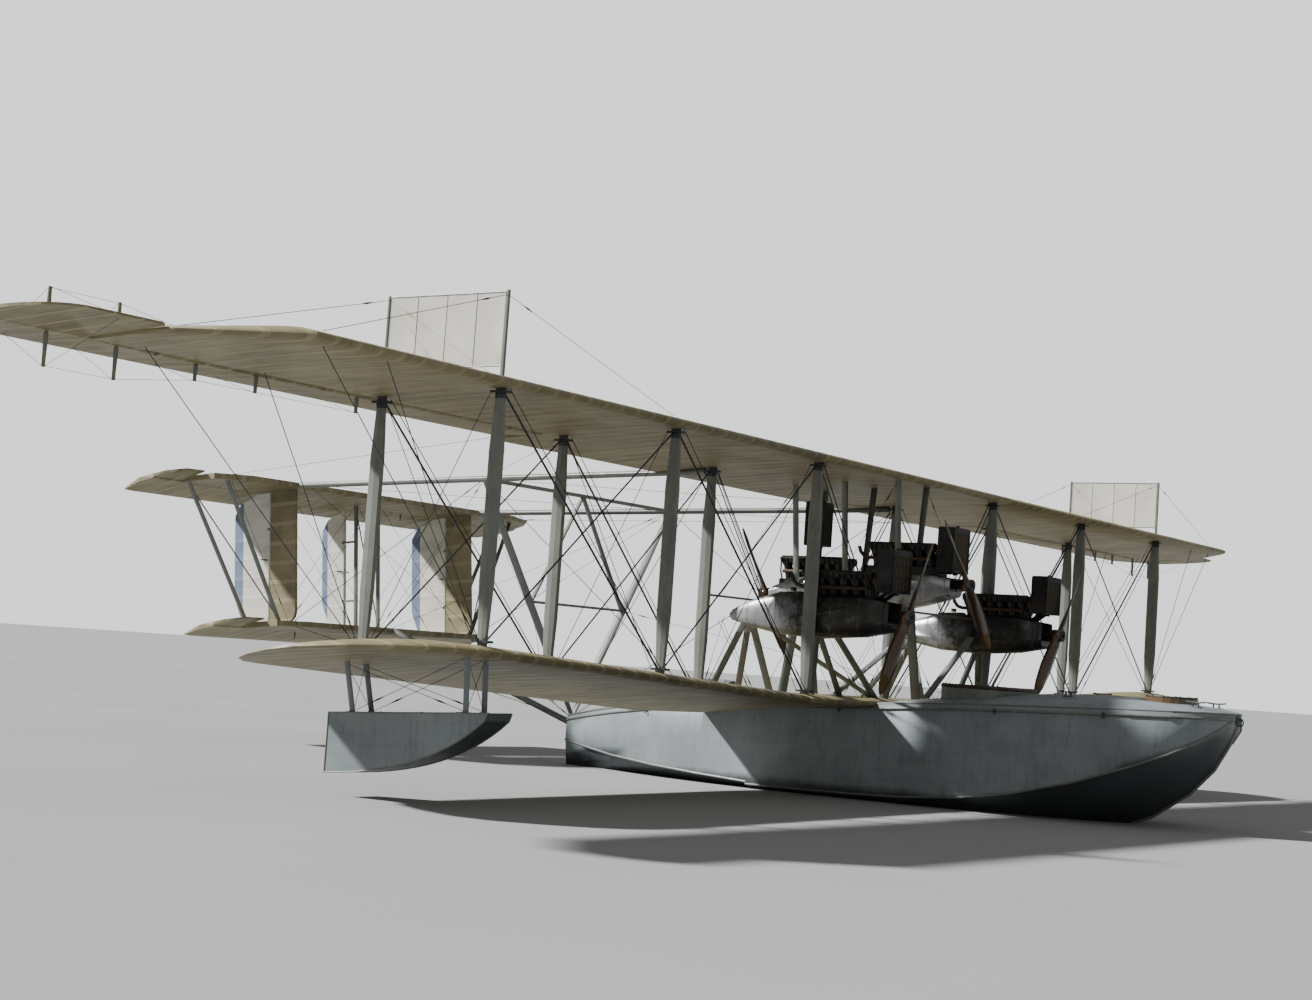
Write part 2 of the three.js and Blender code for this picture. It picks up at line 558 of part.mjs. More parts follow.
function engine(name) {
  const { hub, y, facing, nose, radiator } = ENGINES[name];
  const at = (reach) => hub.x - facing * reach;
  const face = HUB_LENGTH / 2 + JOINT_GAP;
  const caseFront = face + nose;
  const parts = [
    box([ENGINE.length, ENGINE.width, ENGINE.below + ENGINE.above],
      [at(caseFront + ENGINE.length / 2), y, hub.z + (ENGINE.above - ENGINE.below) / 2]),
    bar([at(face), y, hub.z], [at(caseFront + 50), y, hub.z], 150, 150, { sides: 16 }),
  ];
  const middle = at(caseFront + CYLINDERS.first + 2.5 * CYLINDERS.pitch);
  parts.push(box([CAMSHAFT.length - 2 * CYLINDERS.pitch, INTAKE.width, INTAKE.height],
    [middle, y, hub.z + INTAKE.rise]));
  for (const side of [-1, 1]) {
    const upTo = (reach) => [
      y + side * (CYLINDERS.offset + reach * Math.sin(ENGINE.lean)),
      hub.z + ENGINE.above - CYLINDERS.foot + reach * Math.cos(ENGINE.lean),
    ];
    for (let i = 0; i < 6; i += 1) {
      const x = at(caseFront + CYLINDERS.first + i * CYLINDERS.pitch);
      parts.push(bar([x, ...upTo(0)], [x, ...upTo(ENGINE.bank)], 2 * ENGINE.cylinder, 2 * ENGINE.cylinder,
        { sides: 8 }));
    }
    const housing = new THREE.BoxGeometry(CAMSHAFT.length, CAMSHAFT.width, CAMSHAFT.height);
    parts.push(toSolid(housing.rotateX(-side * ENGINE.lean).translate(middle, ...upTo(ENGINE.bank))));
    const inner = [middle, y + side * (INTAKE.width / 2 - 10), hub.z + INTAKE.rise];
    parts.push(bar(inner, [middle, ...upTo(ENGINE.bank - 60)], 80, 80, { sides: 6 }));
  }
  const foot = hub.z + radiator.rise;
  parts.push(box([radiator.length, radiator.width, radiator.height],
    [at(radiator.back), y, foot + radiator.height / 2]));
  for (const side of [-120, 120]) {
    const low = [at(Math.max(radiator.back, caseFront + 30)), y + side, hub.z + ENGINE.above - 60];
    parts.push(bar(low, [at(radiator.back), y + side, foot + 30], 70, 70, { sides: 8 }));
  }
  return join(parts);
}

// The room cut in a nacelle for its engine, wider above where the two rows of cylinders lean out.
function engineBay(name) {
  const { hub, y, facing, nose } = ENGINES[name];
  const ahead = hub.x + facing * 100;
  const behind = hub.x - facing * (HUB_LENGTH / 2 + nose + ENGINE.length + 60);
  const half = [[230, -ENGINE.below - JOINT_GAP], [230, 475], [325, 706], [325, 1500]];
  const shape = outline([...half, ...half.map(([across, up]) => [-across, up]).reverse()]);
  return toSolid(alongX(shape, Math.min(ahead, behind), Math.max(ahead, behind)).translate(0, y, hub.z));
}

// Nacelle lines: x, bottom z, top z, half width.
const OUTBOARD_LINES = [
  [-800, 3050, 3130, 35],
  [-720, 3000, 3200, 95],
  [-350, 2910, 3370, 190],
  [250, 2800, 3540, 265],
  [1000, 2760, 3580, 285],
  [1900, 2830, 3580, 285],
  [2440, 2940, 3500, 260],
];
const CENTRE_LINES = [
  [-1800, 3440, 3790, 240],
  [-1350, 3360, 3960, 320],
  [-500, 3290, 4060, 350],
  [600, 3350, 4120, 350],
  [1500, 3560, 4120, 330],
  [2000, 3700, 4100, 270],
];

function nacelleBody(lines, y, margin = 0) {
  return loft(lines.map(([x, low, high, halfWidth]) => {
    const middle = (low + high) / 2;
    const rise = (high - low) / 2 + margin;
    const half = halfWidth + margin;
    const ring = [];
    for (let i = 0; i < 16; i += 1) {
      const turn = (i * Math.PI) / 8 + Math.PI / 16;
      const round = (value) => Math.sign(value) * Math.abs(value) ** 0.6;
      ring.push([x, y + half * round(Math.cos(turn)), middle + rise * round(Math.sin(turn))]);
    }
    return ring;
  }));
}

const LEG = { chord: 130, thickness: 60, hullY: 900, innerY: 2210 };
const leg = (from, to, scale = 1) => bar(from, to, LEG.chord * scale, LEG.thickness * scale, { sides: 8 });

function outboardNacelle() {
  const y = OUTBOARD_Y;
  const parts = [nacelleBody(OUTBOARD_LINES, y)];
  for (const x of Object.values(SPARS)) {
    const onBody = x > 0 ? x : -450;
    const low = x > 0 ? 2800 : 3000;
    const wall = x > 0 ? 270 : 120;
    parts.push(leg([onBody, y - wall + 30, 3110], [x, LEG.hullY, lowerTop(x, 0) - 40], 1.2));
    parts.push(leg([onBody, y - 60, low], [x, LEG.innerY, lowerTop(x, LEG.innerY) - 40]));
    parts.push(leg([onBody, y + 60, low], [x, y + 130, lowerTop(x, y) - 40]));
  }
  parts.push(leg([SPARS.front, y + 120, 3150], [SPARS.front, STRUT_STATIONS.inner, 3150]));
  parts.push(leg([-450, y - 90, 3110], [SPARS.front, LEG.hullY, lowerTop(SPARS.front, 0) - 40]));
  const struts = Object.values(SPARS).map((x) => strutBar(x, STRUT_STATIONS.inner, JOINT_GAP));
  const around = [hullForm(JOINT_GAP), upperCutter, lowerCutter, ...struts];
  return cut(join(parts), [engineBay("engine_port"), ...around]);
}

// The centre nacelle's frames: pairs of posts that lean in from the upper wing, spread legs down to the
// lower wing, and ties out to the outboard nacelles in front and to the inner struts behind.
const CENTRE_FRAME = {
  postXs: [FRONT_SPAR_X, -100, REAR_SPAR_X], postFoot: { y: 330, z: 3850 }, postHeadY: 580,
  legTopY: 180, legTopZ: 3520, legFootY: 640, tieZ: 3420, frontTieY: 2950,
};

function centreNacelle() {
  const { postXs, postFoot, postHeadY, legTopY, legTopZ, legFootY, tieZ, frontTieY } = CENTRE_FRAME;
  const parts = [nacelleBody(CENTRE_LINES, 0)];
  for (const side of [-1, 1]) {
    for (const x of postXs) {
      parts.push(leg([x, side * postFoot.y, postFoot.z], [x, side * postHeadY, upperUnderside(x) + 70]));
    }
  }
  for (const x of Object.values(SPARS)) {
    const endY = x > 0 ? frontTieY : STRUT_STATIONS.inner;
    parts.push(leg([x, -endY, tieZ], [x, endY, tieZ], 0.7));
    for (const side of [-1, 1]) {
      parts.push(leg([x, side * legTopY, legTopZ], [x, side * legFootY, lowerTop(x, 0) - 40], 1.5));
    }
  }
  const outboard = [-1, 1].map((side) => nacelleBody(OUTBOARD_LINES, side * OUTBOARD_Y, JOINT_GAP));
  const bays = [engineBay("engine_front"), engineBay("engine_rear")];
  const struts = [-1, 1].map((side) => strutBar(REAR_SPAR_X, side * STRUT_STATIONS.inner, JOINT_GAP));
  return cut(join(parts), [...bays, ...struts, ...outboard, hullForm(JOINT_GAP), upperCutter, lowerCutter]);
}

function buildPower() {
  addPair("nacelle", outboardNacelle(), "aluminium");
  addNode("nacelle_centre", centreNacelle(), "aluminium");
  addPair("engine", engine("engine_port"), "engine");
  addNode("engine_front", engine("engine_front"), "engine");
  addNode("engine_rear", engine("engine_rear"), "engine");
  addNode("propeller_port", propeller(OUTBOARD_HUB, OUTBOARD_Y, -0.66), "wood");
  addNode("propeller_starboard", propeller(OUTBOARD_HUB, -OUTBOARD_Y, -0.549), "wood");
  addNode("propeller_front", propeller(FRONT_HUB, 0, 0.77), "wood");
  addNode("propeller_rear", propeller(REAR_HUB, 0, 0.7), "wood");
}

// Tailplanes, each with one elevator whose balanced tips reach forward past the tailplane's ends.
const TAILPLANES = {
  upper: {
    z: TAIL_UPPER_Z, frontX: -11250, half: 5050, tip: 5850, frontTipX: -11600,
    hinges: [-4000, -1350, 1350, 4000],
  },
  lower: {
    z: TAIL_LOWER_Z, frontX: -11250, half: 3350, tip: 4180, frontTipX: -11500,
    hinges: [-2300, 2300],
  },
};
const TAIL_NOSE = TAIL_THICKNESS / 2;
const TAIL_GAP = 15;

const tailUnit = new THREE.Group();
tailUnit.rotation.y = -TAIL_PITCH;
const pivot = new THREE.Vector3(TAIL_PIVOT.x, 0, TAIL_PIVOT.z);
tailUnit.position.copy(pivot).sub(pivot.clone().applyEuler(tailUnit.rotation));
tailUnit.position.z += TAIL_PIVOT.raise;
tailUnit.updateMatrix();
airframe.add(tailUnit);

const inAirframe = (solid) => toSolid(toGeometry(solid).applyMatrix4(tailUnit.matrix));

function tailSection(front, back, noseRadius) {
  const shape = new THREE.Shape();
  shape.moveTo(front - 60, -noseRadius);
  shape.quadraticCurveTo(front, -noseRadius, front, 0);
  shape.quadraticCurveTo(front, noseRadius, front - 60, noseRadius);
  shape.lineTo(back, noseRadius);
  shape.lineTo(back, -noseRadius);
  shape.closePath();
  return shape;
}

function tailplane({ z, frontX, half, frontTipX, hinges }) {
  const back = TAIL_HINGE_X + TAIL_NOSE + TAIL_GAP;
  const slab = toSolid(acrossY(tailSection(frontX, back, TAIL_NOSE), -half, half).translate(0, 0, z));
  const plan = outline([
    [back - 10, -half], [frontTipX, -half], [frontX, -half + 900], [frontX + 10, 0],
    [frontX, half - 900], [frontTipX, half], [back - 10, half],
  ]);
  const arms = hinges.map((y) => hingeArm([TAIL_HINGE_X, y, z], TAIL_NOSE + TAIL_GAP + 20, "y"));
  return join([slab.intersect(toSolid(upright(plan, z - 200, z + 200))), ...arms]);
}

// An elevator round its own hinge line, then set at its hinges with its droop.
function elevator({ z, half, tip, hinges }) {
  const blade = loft([-tip, tip].map((y) => controlSection(y, TAIL_NOSE, ELEVATOR_CHORD, 7)));
  const hornInner = half + AILERON_GAP;
  const horns = [-1, 1].map((side) => {
    const [y0, y1] = side > 0 ? [hornInner, tip] : [-tip, -hornInner];
    const horn = outline([[-100, -30], [0, -32], [750, -14], [750, 14], [0, 32], [-100, 30]]);
    return toSolid(acrossY(horn, y0, y1));
  });
  const halfPlan = [
    [-ELEVATOR_CHORD - 50, 0], [-ELEVATOR_CHORD - 50, tip - 600], [-ELEVATOR_CHORD + 60, tip - 200],
    [-350, tip], [350, tip - 60], [670, tip - 330], [700, hornInner], [200, hornInner], [200, 0],
  ];
  const plan = toSolid(upright(outline(halfPlan), -200, 200));
  const otherPlan = toSolid(mirrored(toGeometry(plan)));
  const notches = hinges.map((y) => hingeNotch([0, y, 0], "y"));
  const surface = cut(join([blade, ...horns]).intersect(plan.add(otherPlan)), notches);
  return toGeometry(surface).rotateY(-ELEVATOR_DROOP).translate(TAIL_HINGE_X, 0, z);
}

// The rudders and the fins' aft parts keep clear of the elevators at the ends of their travel.
const RUDDER = { nose: 40, hinges: [3100, 4400], corner: 180 };
const ELEVATOR_SWEEP = { slope: 0.33, start: 75 };
const TAIL_LOW_FACE = TAIL_LOWER_Z + TAIL_NOSE;
const TAIL_HIGH_FACE = TAIL_UPPER_Z - TAIL_NOSE;
const sweepAt = (x) => ELEVATOR_SWEEP.start + ELEVATOR_SWEEP.slope * Math.max(0, TAIL_HINGE_X - x);

function rudder({ x: hingeX, chord }, y) {
  const { nose, corner } = RUDDER;
  const bend = Math.max(0, hingeX - TAIL_HINGE_X);
  const section = new THREE.Shape();
  section.moveTo(-chord, -7);
  section.lineTo(0, -nose);
  section.absarc(0, 0, nose, -Math.PI / 2, Math.PI / 2, false);
  section.lineTo(-chord, 7);
  section.closePath();
  const blade = toSolid(upright(section, TAIL_LOW_FACE, TAIL_HIGH_FACE));
  const low = (back) => TAIL_LOWER_Z + sweepAt(hingeX - back);
  const high = (back) => TAIL_UPPER_Z - sweepAt(hingeX - back);
  const side = outline([
    [100, low(0)], [-bend, low(bend)], [corner - chord, low(chord - corner)],
    [-chord, low(chord) + 2 * corner], [-chord, high(chord) - corner],
    [corner - chord, high(chord - corner)], [-bend, high(bend)], [100, high(0)],
  ]);
  const notches = RUDDER.hinges.map((z) => hingeNotch([0, 0, z], "z"));
  const surface = cut(blade.intersect(toSolid(acrossY(side, -100, 100))), notches);
  return toGeometry(surface).translate(hingeX, y, 0);
}

// A fin with a rounded lower front corner.
const FIN = { frontX: -11450, corner: 260, thickness: 70 };

function fin() {
  const back = OUTER_RUDDER.x + RUDDER.nose + TAIL_GAP;
  const [low, high] = [TAIL_LOW_FACE + JOINT_GAP, TAIL_HIGH_FACE - JOINT_GAP];
  const side = new THREE.Shape();
  side.moveTo(FIN.frontX - FIN.corner, low);
  side.quadraticCurveTo(FIN.frontX, low, FIN.frontX, low + FIN.corner);
  side.lineTo(FIN.frontX - 20, high);
  side.lineTo(back, high);
  side.lineTo(back, low);
  side.closePath();
  const reach = RUDDER.nose + TAIL_GAP + 20;
  const arms = RUDDER.hinges.map((z) => hingeArm([OUTER_RUDDER.x, FIN_Y, z], reach, "z"));
  return join([toSolid(acrossY(side, FIN_Y - FIN.thickness / 2, FIN_Y + FIN.thickness / 2)), ...arms]);
}

// Two posts between the tailplanes, each { x, foot y, head y }, with one brace; arms reach back to a rudder.
function tailFrame([front, back], arms = []) {
  const [low, high] = [TAIL_LOW_FACE + JOINT_GAP, TAIL_HIGH_FACE - JOINT_GAP];
  const plan = outline([[-13500, -9000], [-10000, -9000], [-10000, 9000], [-13500, 9000]]);
  const between = toSolid(upright(plan, low, high));
  const onPost = ({ x, foot, head }, part) =>
    [x, foot + part * (head - foot), low - 60 + part * (high - low + 120)];
  const post = (line) => bar(onPost(line, 0), onPost(line, 1), 120, 60, { sides: 8 });
  const brace = bar(onPost(front, 0.05), onPost(back, 0.95), 30, 30, { sides: 6 });
  return join([post(front), post(back), brace, ...arms]).intersect(between);
}

const TAIL_POSTS = {
  centre: [{ x: -11750, foot: 0, head: 0 }, { x: -12390, foot: 0, head: 0 }],
  outer: [{ x: -11700, foot: 3060, head: 4620 }, { x: -12440, foot: 3230, head: 4960 }],
};

function buildTail() {
  for (const [name, plane] of Object.entries(TAILPLANES)) {
    addNode(`tailplane_${name}`, tailplane(plane), "linen", tailUnit);
    addNode(`elevator_${name}`, elevator(plane), "linen", tailUnit);
  }
  addPair("fin", fin(), "linen", tailUnit);
  for (const [name, side] of [["port", 1], ["starboard", -1]]) {
    addNode(`rudder_${name}`, rudder(OUTER_RUDDER, side * FIN_Y), "rudder", tailUnit);
  }
  addNode("rudder_centre", rudder(CENTRE_RUDDER, 0), "rudder", tailUnit);
  const reach = TAIL_POSTS.centre[1].x - CENTRE_RUDDER.x;
  const arms = RUDDER.hinges.map((z) => hingeArm([CENTRE_RUDDER.x, 0, z], reach, "z"));
  addNode("tail_frame_centre", tailFrame(TAIL_POSTS.centre, arms), "strutGrey", tailUnit);
  addPair("tail_frame", tailFrame(TAIL_POSTS.outer), "strutGrey", tailUnit);
}

// Booms run from the heads of the inner rear struts to the upper tailplane,
// and a triangular frame ties them to the stern.
const BOOM = {
  start: [REAR_SPAR_X - 145, STRUT_STATIONS.inner, 5590],
  end: [-11585, 2950, 5291],
};
const KEEL_BOOM = { start: [-6300, 0, 800], end: [-11300, 0, 2456], diameter: 130 };
const STERN_TOP = [-6380, 0, 960];
const STERN_CROSS = { y: 1560, z: 3190 };

const tube = (from, to, size) => bar(from, to, size, size, { sides: 12 });

function boomPoint(x) {
  const part = (x - BOOM.start[0]) / (BOOM.end[0] - BOOM.start[0]);
  return BOOM.start.map((value, i) => value + part * (BOOM.end[i] - value));
}

// A tailplane's plain slab, grown, to trim the boom that ends at it.
function grownTailplane({ z, frontX, half }) {
  const section = tailSection(frontX + JOINT_GAP, TAIL_HINGE_X, TAIL_NOSE + JOINT_GAP);
  return inAirframe(toSolid(acrossY(section, -half, half).translate(0, 0, z)));
}

function sternFrame(margin = 0) {
  const [x, y, z] = boomPoint(STERN_FRAME_X);
  const middle = (side) => [x + 60, side * STERN_CROSS.y, STERN_CROSS.z];
  const wide = (size) => size + 2 * margin;
  const parts = [-1, 1].flatMap((side) => [
    bar([x, side * y, z], STERN_TOP, wide(190), wide(80), { taper: 0.55, sides: 10 }),
    bar([x, 0, z], middle(side), wide(120), wide(55), { sides: 8 }),
  ]);
  parts.push(bar([x, -y, z], [x, y, z], wide(80), wide(80), { sides: 8 }));
  parts.push(bar(middle(-1), middle(1), wide(55), wide(55), { sides: 8 }));
  return join(parts);
}

function buildBooms() {
  const boom = tube(BOOM.start, BOOM.end, BOOM_DIAMETER);
  const strut = strutBar(REAR_SPAR_X, STRUT_STATIONS.inner, JOINT_GAP);
  addPair("tail_boom", cut(boom, [upperCutter, strut, grownTailplane(TAILPLANES.upper)]), "strutGrey");
  const grownBoom = tube(BOOM.start, BOOM.end, BOOM_DIAMETER + 2 * JOINT_GAP);
  const otherBoom = toSolid(mirrored(toGeometry(grownBoom)));
  addNode("stern_frame", cut(sternFrame(), [grownBoom, otherBoom, hullForm(JOINT_GAP)]), "strutGrey");
  const keel = tube(KEEL_BOOM.start, KEEL_BOOM.end, KEEL_BOOM.diameter);
  const around = [hullForm(JOINT_GAP), grownTailplane(TAILPLANES.lower), sternFrame(JOINT_GAP)];
  addNode("keel_boom", cut(keel, around), "strutGrey");
}

// A flat-decked float with an upright stern and a bottom that curves up to the bow,
// carried under the lower wing by two pairs of struts.
const FLOAT = {
  sternX: -1480, bowX: 1360, sternZ: 320, bowZ: 1230, deckZ: 1250, deckSlope: 0.064,
  bellyX: 400, bellyZ: 430, strutSpread: 200,
};
const FLOAT_STRUTS = [
  { footX: -1080, headX: -1290 },
  { footX: 940, headX: 890 },
];

function wingFloat() {
  const deck = (x) => FLOAT.deckZ + FLOAT.deckSlope * x;
  const side = new THREE.Shape();
  side.moveTo(FLOAT.sternX, deck(FLOAT.sternX));
  side.lineTo(FLOAT.sternX, FLOAT.sternZ);
  side.quadraticCurveTo(FLOAT.bellyX, FLOAT.bellyZ, FLOAT.bowX - 40, FLOAT.bowZ);
  side.lineTo(FLOAT.bowX, deck(FLOAT.bowX));
  side.closePath();
  const parts = [toSolid(acrossY(side, FLOAT_Y - FLOAT_WIDTH / 2, FLOAT_Y + FLOAT_WIDTH / 2))];
  for (const { footX, headX } of FLOAT_STRUTS) {
    for (const y of [FLOAT_Y - FLOAT.strutSpread, FLOAT_Y + FLOAT.strutSpread]) {
      parts.push(leg([footX, y, deck(footX) - 60], [headX, y, lowerUnderside(headX, y) + 110], 0.8));
    }
  }
  return join(parts).subtract(lowerCutter);
}

// A cloth fin above the upper wing between two kingposts.
const SKID_FIN = { height: 1330, clothFoot: 300, postChord: 80, postThickness: 60, clothThickness: 20 };

function skidFin() {
  const { height, clothFoot, postChord, postThickness, clothThickness } = SKID_FIN;
  const y = STRUT_STATIONS.outer;
  const [foot, low, top] = [UPPER.base, UPPER.base + clothFoot, UPPER.base + height];
  const posts = Object.values(SPARS)
    .map((x) => bar([x, y, foot], [x, y, top], postChord, postThickness, { sides: 8 }));
  const panel = outline([[FRONT_SPAR_X, low], [FRONT_SPAR_X, top], [REAR_SPAR_X, top], [REAR_SPAR_X, low]]);
  const cloth = toSolid(acrossY(panel, y - clothThickness / 2, y + clothThickness / 2));
  return join([...posts, cloth]).subtract(upperCutter);
}

function buildFloatsAndFins() {
  addPair("float", wingFloat(), "hullGrey");
  addPair("skid_fin", skidFin(), "linen");
}

buildHull();
buildWings();
buildAilerons();
buildInterplaneStruts();
buildStays();
buildPower();
buildTail();
buildBooms();
buildFloatsAndFins();

export default airframe;
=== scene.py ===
import json
import math

import bmesh
import bpy
from mathutils import Matrix, Vector

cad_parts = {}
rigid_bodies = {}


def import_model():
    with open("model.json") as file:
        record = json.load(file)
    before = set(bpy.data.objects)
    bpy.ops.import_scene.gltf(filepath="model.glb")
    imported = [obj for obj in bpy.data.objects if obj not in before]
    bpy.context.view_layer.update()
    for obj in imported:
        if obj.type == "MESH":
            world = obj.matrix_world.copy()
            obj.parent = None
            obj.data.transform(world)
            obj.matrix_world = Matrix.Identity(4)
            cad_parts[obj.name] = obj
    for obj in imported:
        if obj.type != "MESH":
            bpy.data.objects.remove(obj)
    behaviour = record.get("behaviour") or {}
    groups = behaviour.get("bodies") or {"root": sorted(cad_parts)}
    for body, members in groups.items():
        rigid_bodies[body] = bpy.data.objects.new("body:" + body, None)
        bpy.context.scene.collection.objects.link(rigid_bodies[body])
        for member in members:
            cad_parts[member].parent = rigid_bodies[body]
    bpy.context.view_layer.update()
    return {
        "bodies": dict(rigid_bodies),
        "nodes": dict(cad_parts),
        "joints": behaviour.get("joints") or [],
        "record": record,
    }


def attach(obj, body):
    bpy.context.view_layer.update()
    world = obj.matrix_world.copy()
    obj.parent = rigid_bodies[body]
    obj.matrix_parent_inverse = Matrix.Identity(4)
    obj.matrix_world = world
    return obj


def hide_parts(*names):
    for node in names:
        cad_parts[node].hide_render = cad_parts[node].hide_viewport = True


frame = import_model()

nodes = frame["nodes"]
up = Vector((0, 0, 1))
sides = {"port": 1, "starboard": -1}

# What the builders' drawings would give, in metres; +X bow, +Y port, +Z up, water at z = 0.
airframe = {
    "spars": {"front": 1.0, "rear": -1.15},
    "stations": {"inner": 3.48, "middle": 7.89, "outer": 12.24},
    "leadX": 1.3, "panelY": 3.7, "dihedral": math.tan(0.05),
    "upperBase": 5.767, "upperSlope": math.tan(math.radians(3.15)),
    "lowerBase": 1.652, "lowerSlope": math.tan(math.radians(5.5)),
    "wingDepth": 0.24, "depthAtSpars": 0.72,
}


def upperUnder(x):
    return airframe["upperBase"] - (airframe["leadX"] - x) * airframe["upperSlope"]


def lowerUnder(x, y):
    rise = max(0, abs(y) - airframe["panelY"]) * airframe["dihedral"]
    return airframe["lowerBase"] - (airframe["leadX"] - x) * airframe["lowerSlope"] + rise


def lowerTop(x, y):
    return lowerUnder(x, y) + airframe["depthAtSpars"] * airframe["wingDepth"]


tailUnit = {"pitch": 0.1, "pivotX": -11.75, "pivotZ": 2.38, "raise": 0.03}


def tailPoint(x, y, z):
    # a point given in the level tail's own numbers, put where the pitched tail has it
    c, s = math.cos(tailUnit["pitch"]), math.sin(tailUnit["pitch"])
    pivotX, pivotZ = tailUnit["pivotX"], tailUnit["pivotZ"]
    back, rise = x - pivotX, z - pivotZ
    return Vector((pivotX + c * back - s * rise, y, pivotZ + tailUnit["raise"] + s * back + c * rise))


# Camera, floor and light

view = {
    "place": (19.138, -34.808, 2.174), "yaw": 0.6003, "pitch": 0.0760, "roll": 0.0689,
    "focusPixels": 2123.15, "imageWidth": 1312, "sensor": 36, "farthest": 2000,
}


def makeCamera():
    cy, sy = math.cos(view["yaw"]), math.sin(view["yaw"])
    cp, sp = math.cos(view["pitch"]), math.sin(view["pitch"])
    ahead = Vector((-sy * cp, cy * cp, sp))
    right = Vector((cy, sy, 0))
    top = right.cross(ahead)
    cr, sr = math.cos(view["roll"]), math.sin(view["roll"])
    rolledRight = right * cr + top * sr
    rolledTop = top * cr - right * sr
    data = bpy.data.cameras.new("photoCamera")
    data.sensor_width = view["sensor"]
    data.sensor_fit = "HORIZONTAL"
    data.lens = view["sensor"] * view["focusPixels"] / view["imageWidth"]
    data.clip_end = view["farthest"]
    camera = bpy.data.objects.new("photoCamera", data)
    turn = Matrix((rolledRight, rolledTop, -ahead)).transposed().to_4x4()
    camera.matrix_world = Matrix.Translation(view["place"]) @ turn
    bpy.context.scene.collection.objects.link(camera)
    bpy.context.scene.camera = camera


studio = {
    "floorSize": 1200, "floorColour": "#8f908e", "floorDeep": "#898a89", "floorCloud": 9000,
    "skyColour": "#eceeef", "skyStrength": 0.42, "backdrop": 1.6,
    "lamps": {
        "key": {"power": 10.5, "softness": 3, "source": (-0.68, -0.39, 0.60)},
        "fill": {"power": 0.14, "softness": 60, "source": (0.5, -0.8, 0.35)},
    },
}


def toLinear(colour):
    values = [int(colour[i:i + 2], 16) / 255 for i in (1, 3, 5)]
    return (*[v / 12.92 if v <= 0.04045 else ((v + 0.055) / 1.055) ** 2.4 for v in values], 1)


def addNode(tree, kind, settings=None, links=None):
    # settings are the node's own properties or its sockets' values; links name a socket and what feeds it
    made = tree.nodes.new("ShaderNode" + kind)
    for key, value in (settings or {}).items():
        if key == "stops":
            ramp = made.color_ramp
            while len(ramp.elements) < len(value):
                ramp.elements.new(0.5)
            for element, (place, colour) in zip(ramp.elements, value):
                element.position = place
                element.color = toLinear(colour) if isinstance(colour, str) else (colour, colour, colour, 1)
        elif isinstance(key, str) and hasattr(made, key):
            setattr(made, key, value)
        else:
            made.inputs[key].default_value = value
    for key, source in (links or {}).items():
        tree.links.new(source, made.inputs[key])
    return made


def startMaterial(name, roughness, metallic=0.0, ior=None):
    material = bpy.data.materials.new(name)
    material.use_nodes = True
    tree = material.node_tree
    tree.nodes.clear()
    shader = addNode(tree, "BsdfPrincipled", {"Roughness": roughness, "Metallic": metallic})
    if ior:
        shader.inputs["IOR"].default_value = ior
    addNode(tree, "OutputMaterial", {}, {"Surface": shader.outputs[0]})
    place = addNode(tree, "TexCoord").outputs["Object"]
    return material, tree, shader, place


def perMetre(millimetres):
    return 1000 / millimetres


def makeStudio():
    bm = bmesh.new()
    bmesh.ops.create_grid(bm, x_segments=1, y_segments=1, size=studio["floorSize"] / 2)
    mesh = bpy.data.meshes.new("floor")
    bm.to_mesh(mesh)
    bm.free()
    # matt painted studio floor: an even pale grey that takes only a soft shadow
    material, tree, shader, place = startMaterial("paleStudioFloor", 0.9)
    cloud = addNode(tree, "TexNoise", {"Scale": perMetre(studio["floorCloud"]), "Detail": 2.0},
                    {"Vector": place})
    tone = addNode(tree, "ValToRGB", {"stops": [(0.3, studio["floorDeep"]), (0.7, studio["floorColour"])]},
                   {"Fac": cloud.outputs["Fac"]})
    tree.links.new(tone.outputs[0], shader.inputs["Base Color"])
    mesh.materials.append(material)
    floor = bpy.data.objects.new("floor", mesh)
    bpy.context.scene.collection.objects.link(floor)
    world = bpy.data.worlds.new("studioSky")
    world.use_nodes = True
    # the backdrop is paler than the light that it gives, as a lit studio wall is
    wall = world.node_tree.nodes["Background"]
    wall.inputs[0].default_value = toLinear(studio["skyColour"])
    seen = addNode(world.node_tree, "LightPath")
    span = {"To Min": studio["skyStrength"], "To Max": studio["backdrop"]}
    strength = addNode(world.node_tree, "MapRange", span, {"Value": seen.outputs["Is Camera Ray"]})
    world.node_tree.links.new(strength.outputs[0], wall.inputs[1])
    bpy.context.scene.world = world
    for name, look in studio["lamps"].items():
        light = bpy.data.lights.new(name, "SUN")
        light.energy = look["power"]
        light.angle = math.radians(look["softness"])
        lamp = bpy.data.objects.new(name, light)
        lamp.rotation_euler = Vector(look["source"]).to_track_quat("Z", "Y").to_euler()
        bpy.context.scene.collection.objects.link(lamp)


makeCamera()
makeStudio()
print("camera, floor and light are in place")


# Making pieces

mergeDistance = 0.0001


def toPiece(name, bm, material, body="airframe", smooth=False):
    mesh = bpy.data.meshes.new(name)
    bm.to_mesh(mesh)
    bm.free()
    mesh.materials.append(material)
    if smooth:
        mesh.shade_smooth()
    piece = bpy.data.objects.new(name, mesh)
    bpy.context.scene.collection.objects.link(piece)
    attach(piece, body)
    return piece


def turnTo(along):
    return up.rotation_difference(Vector(along)).to_matrix().to_4x4()


def addRod(bm, start, end, radius, corners=6, tip=None):
    start, end = Vector(start), Vector(end)
    place = Matrix.Translation((start + end) / 2) @ turnTo(end - start)
    bmesh.ops.create_cone(bm, cap_ends=True, segments=corners, radius1=radius,
                          radius2=radius if tip is None else tip, depth=(end - start).length, matrix=place)


def edgesOf(verts):
    # each edge once, in the order that they are met
    return list(dict.fromkeys(edge for vert in verts for edge in vert.link_edges))


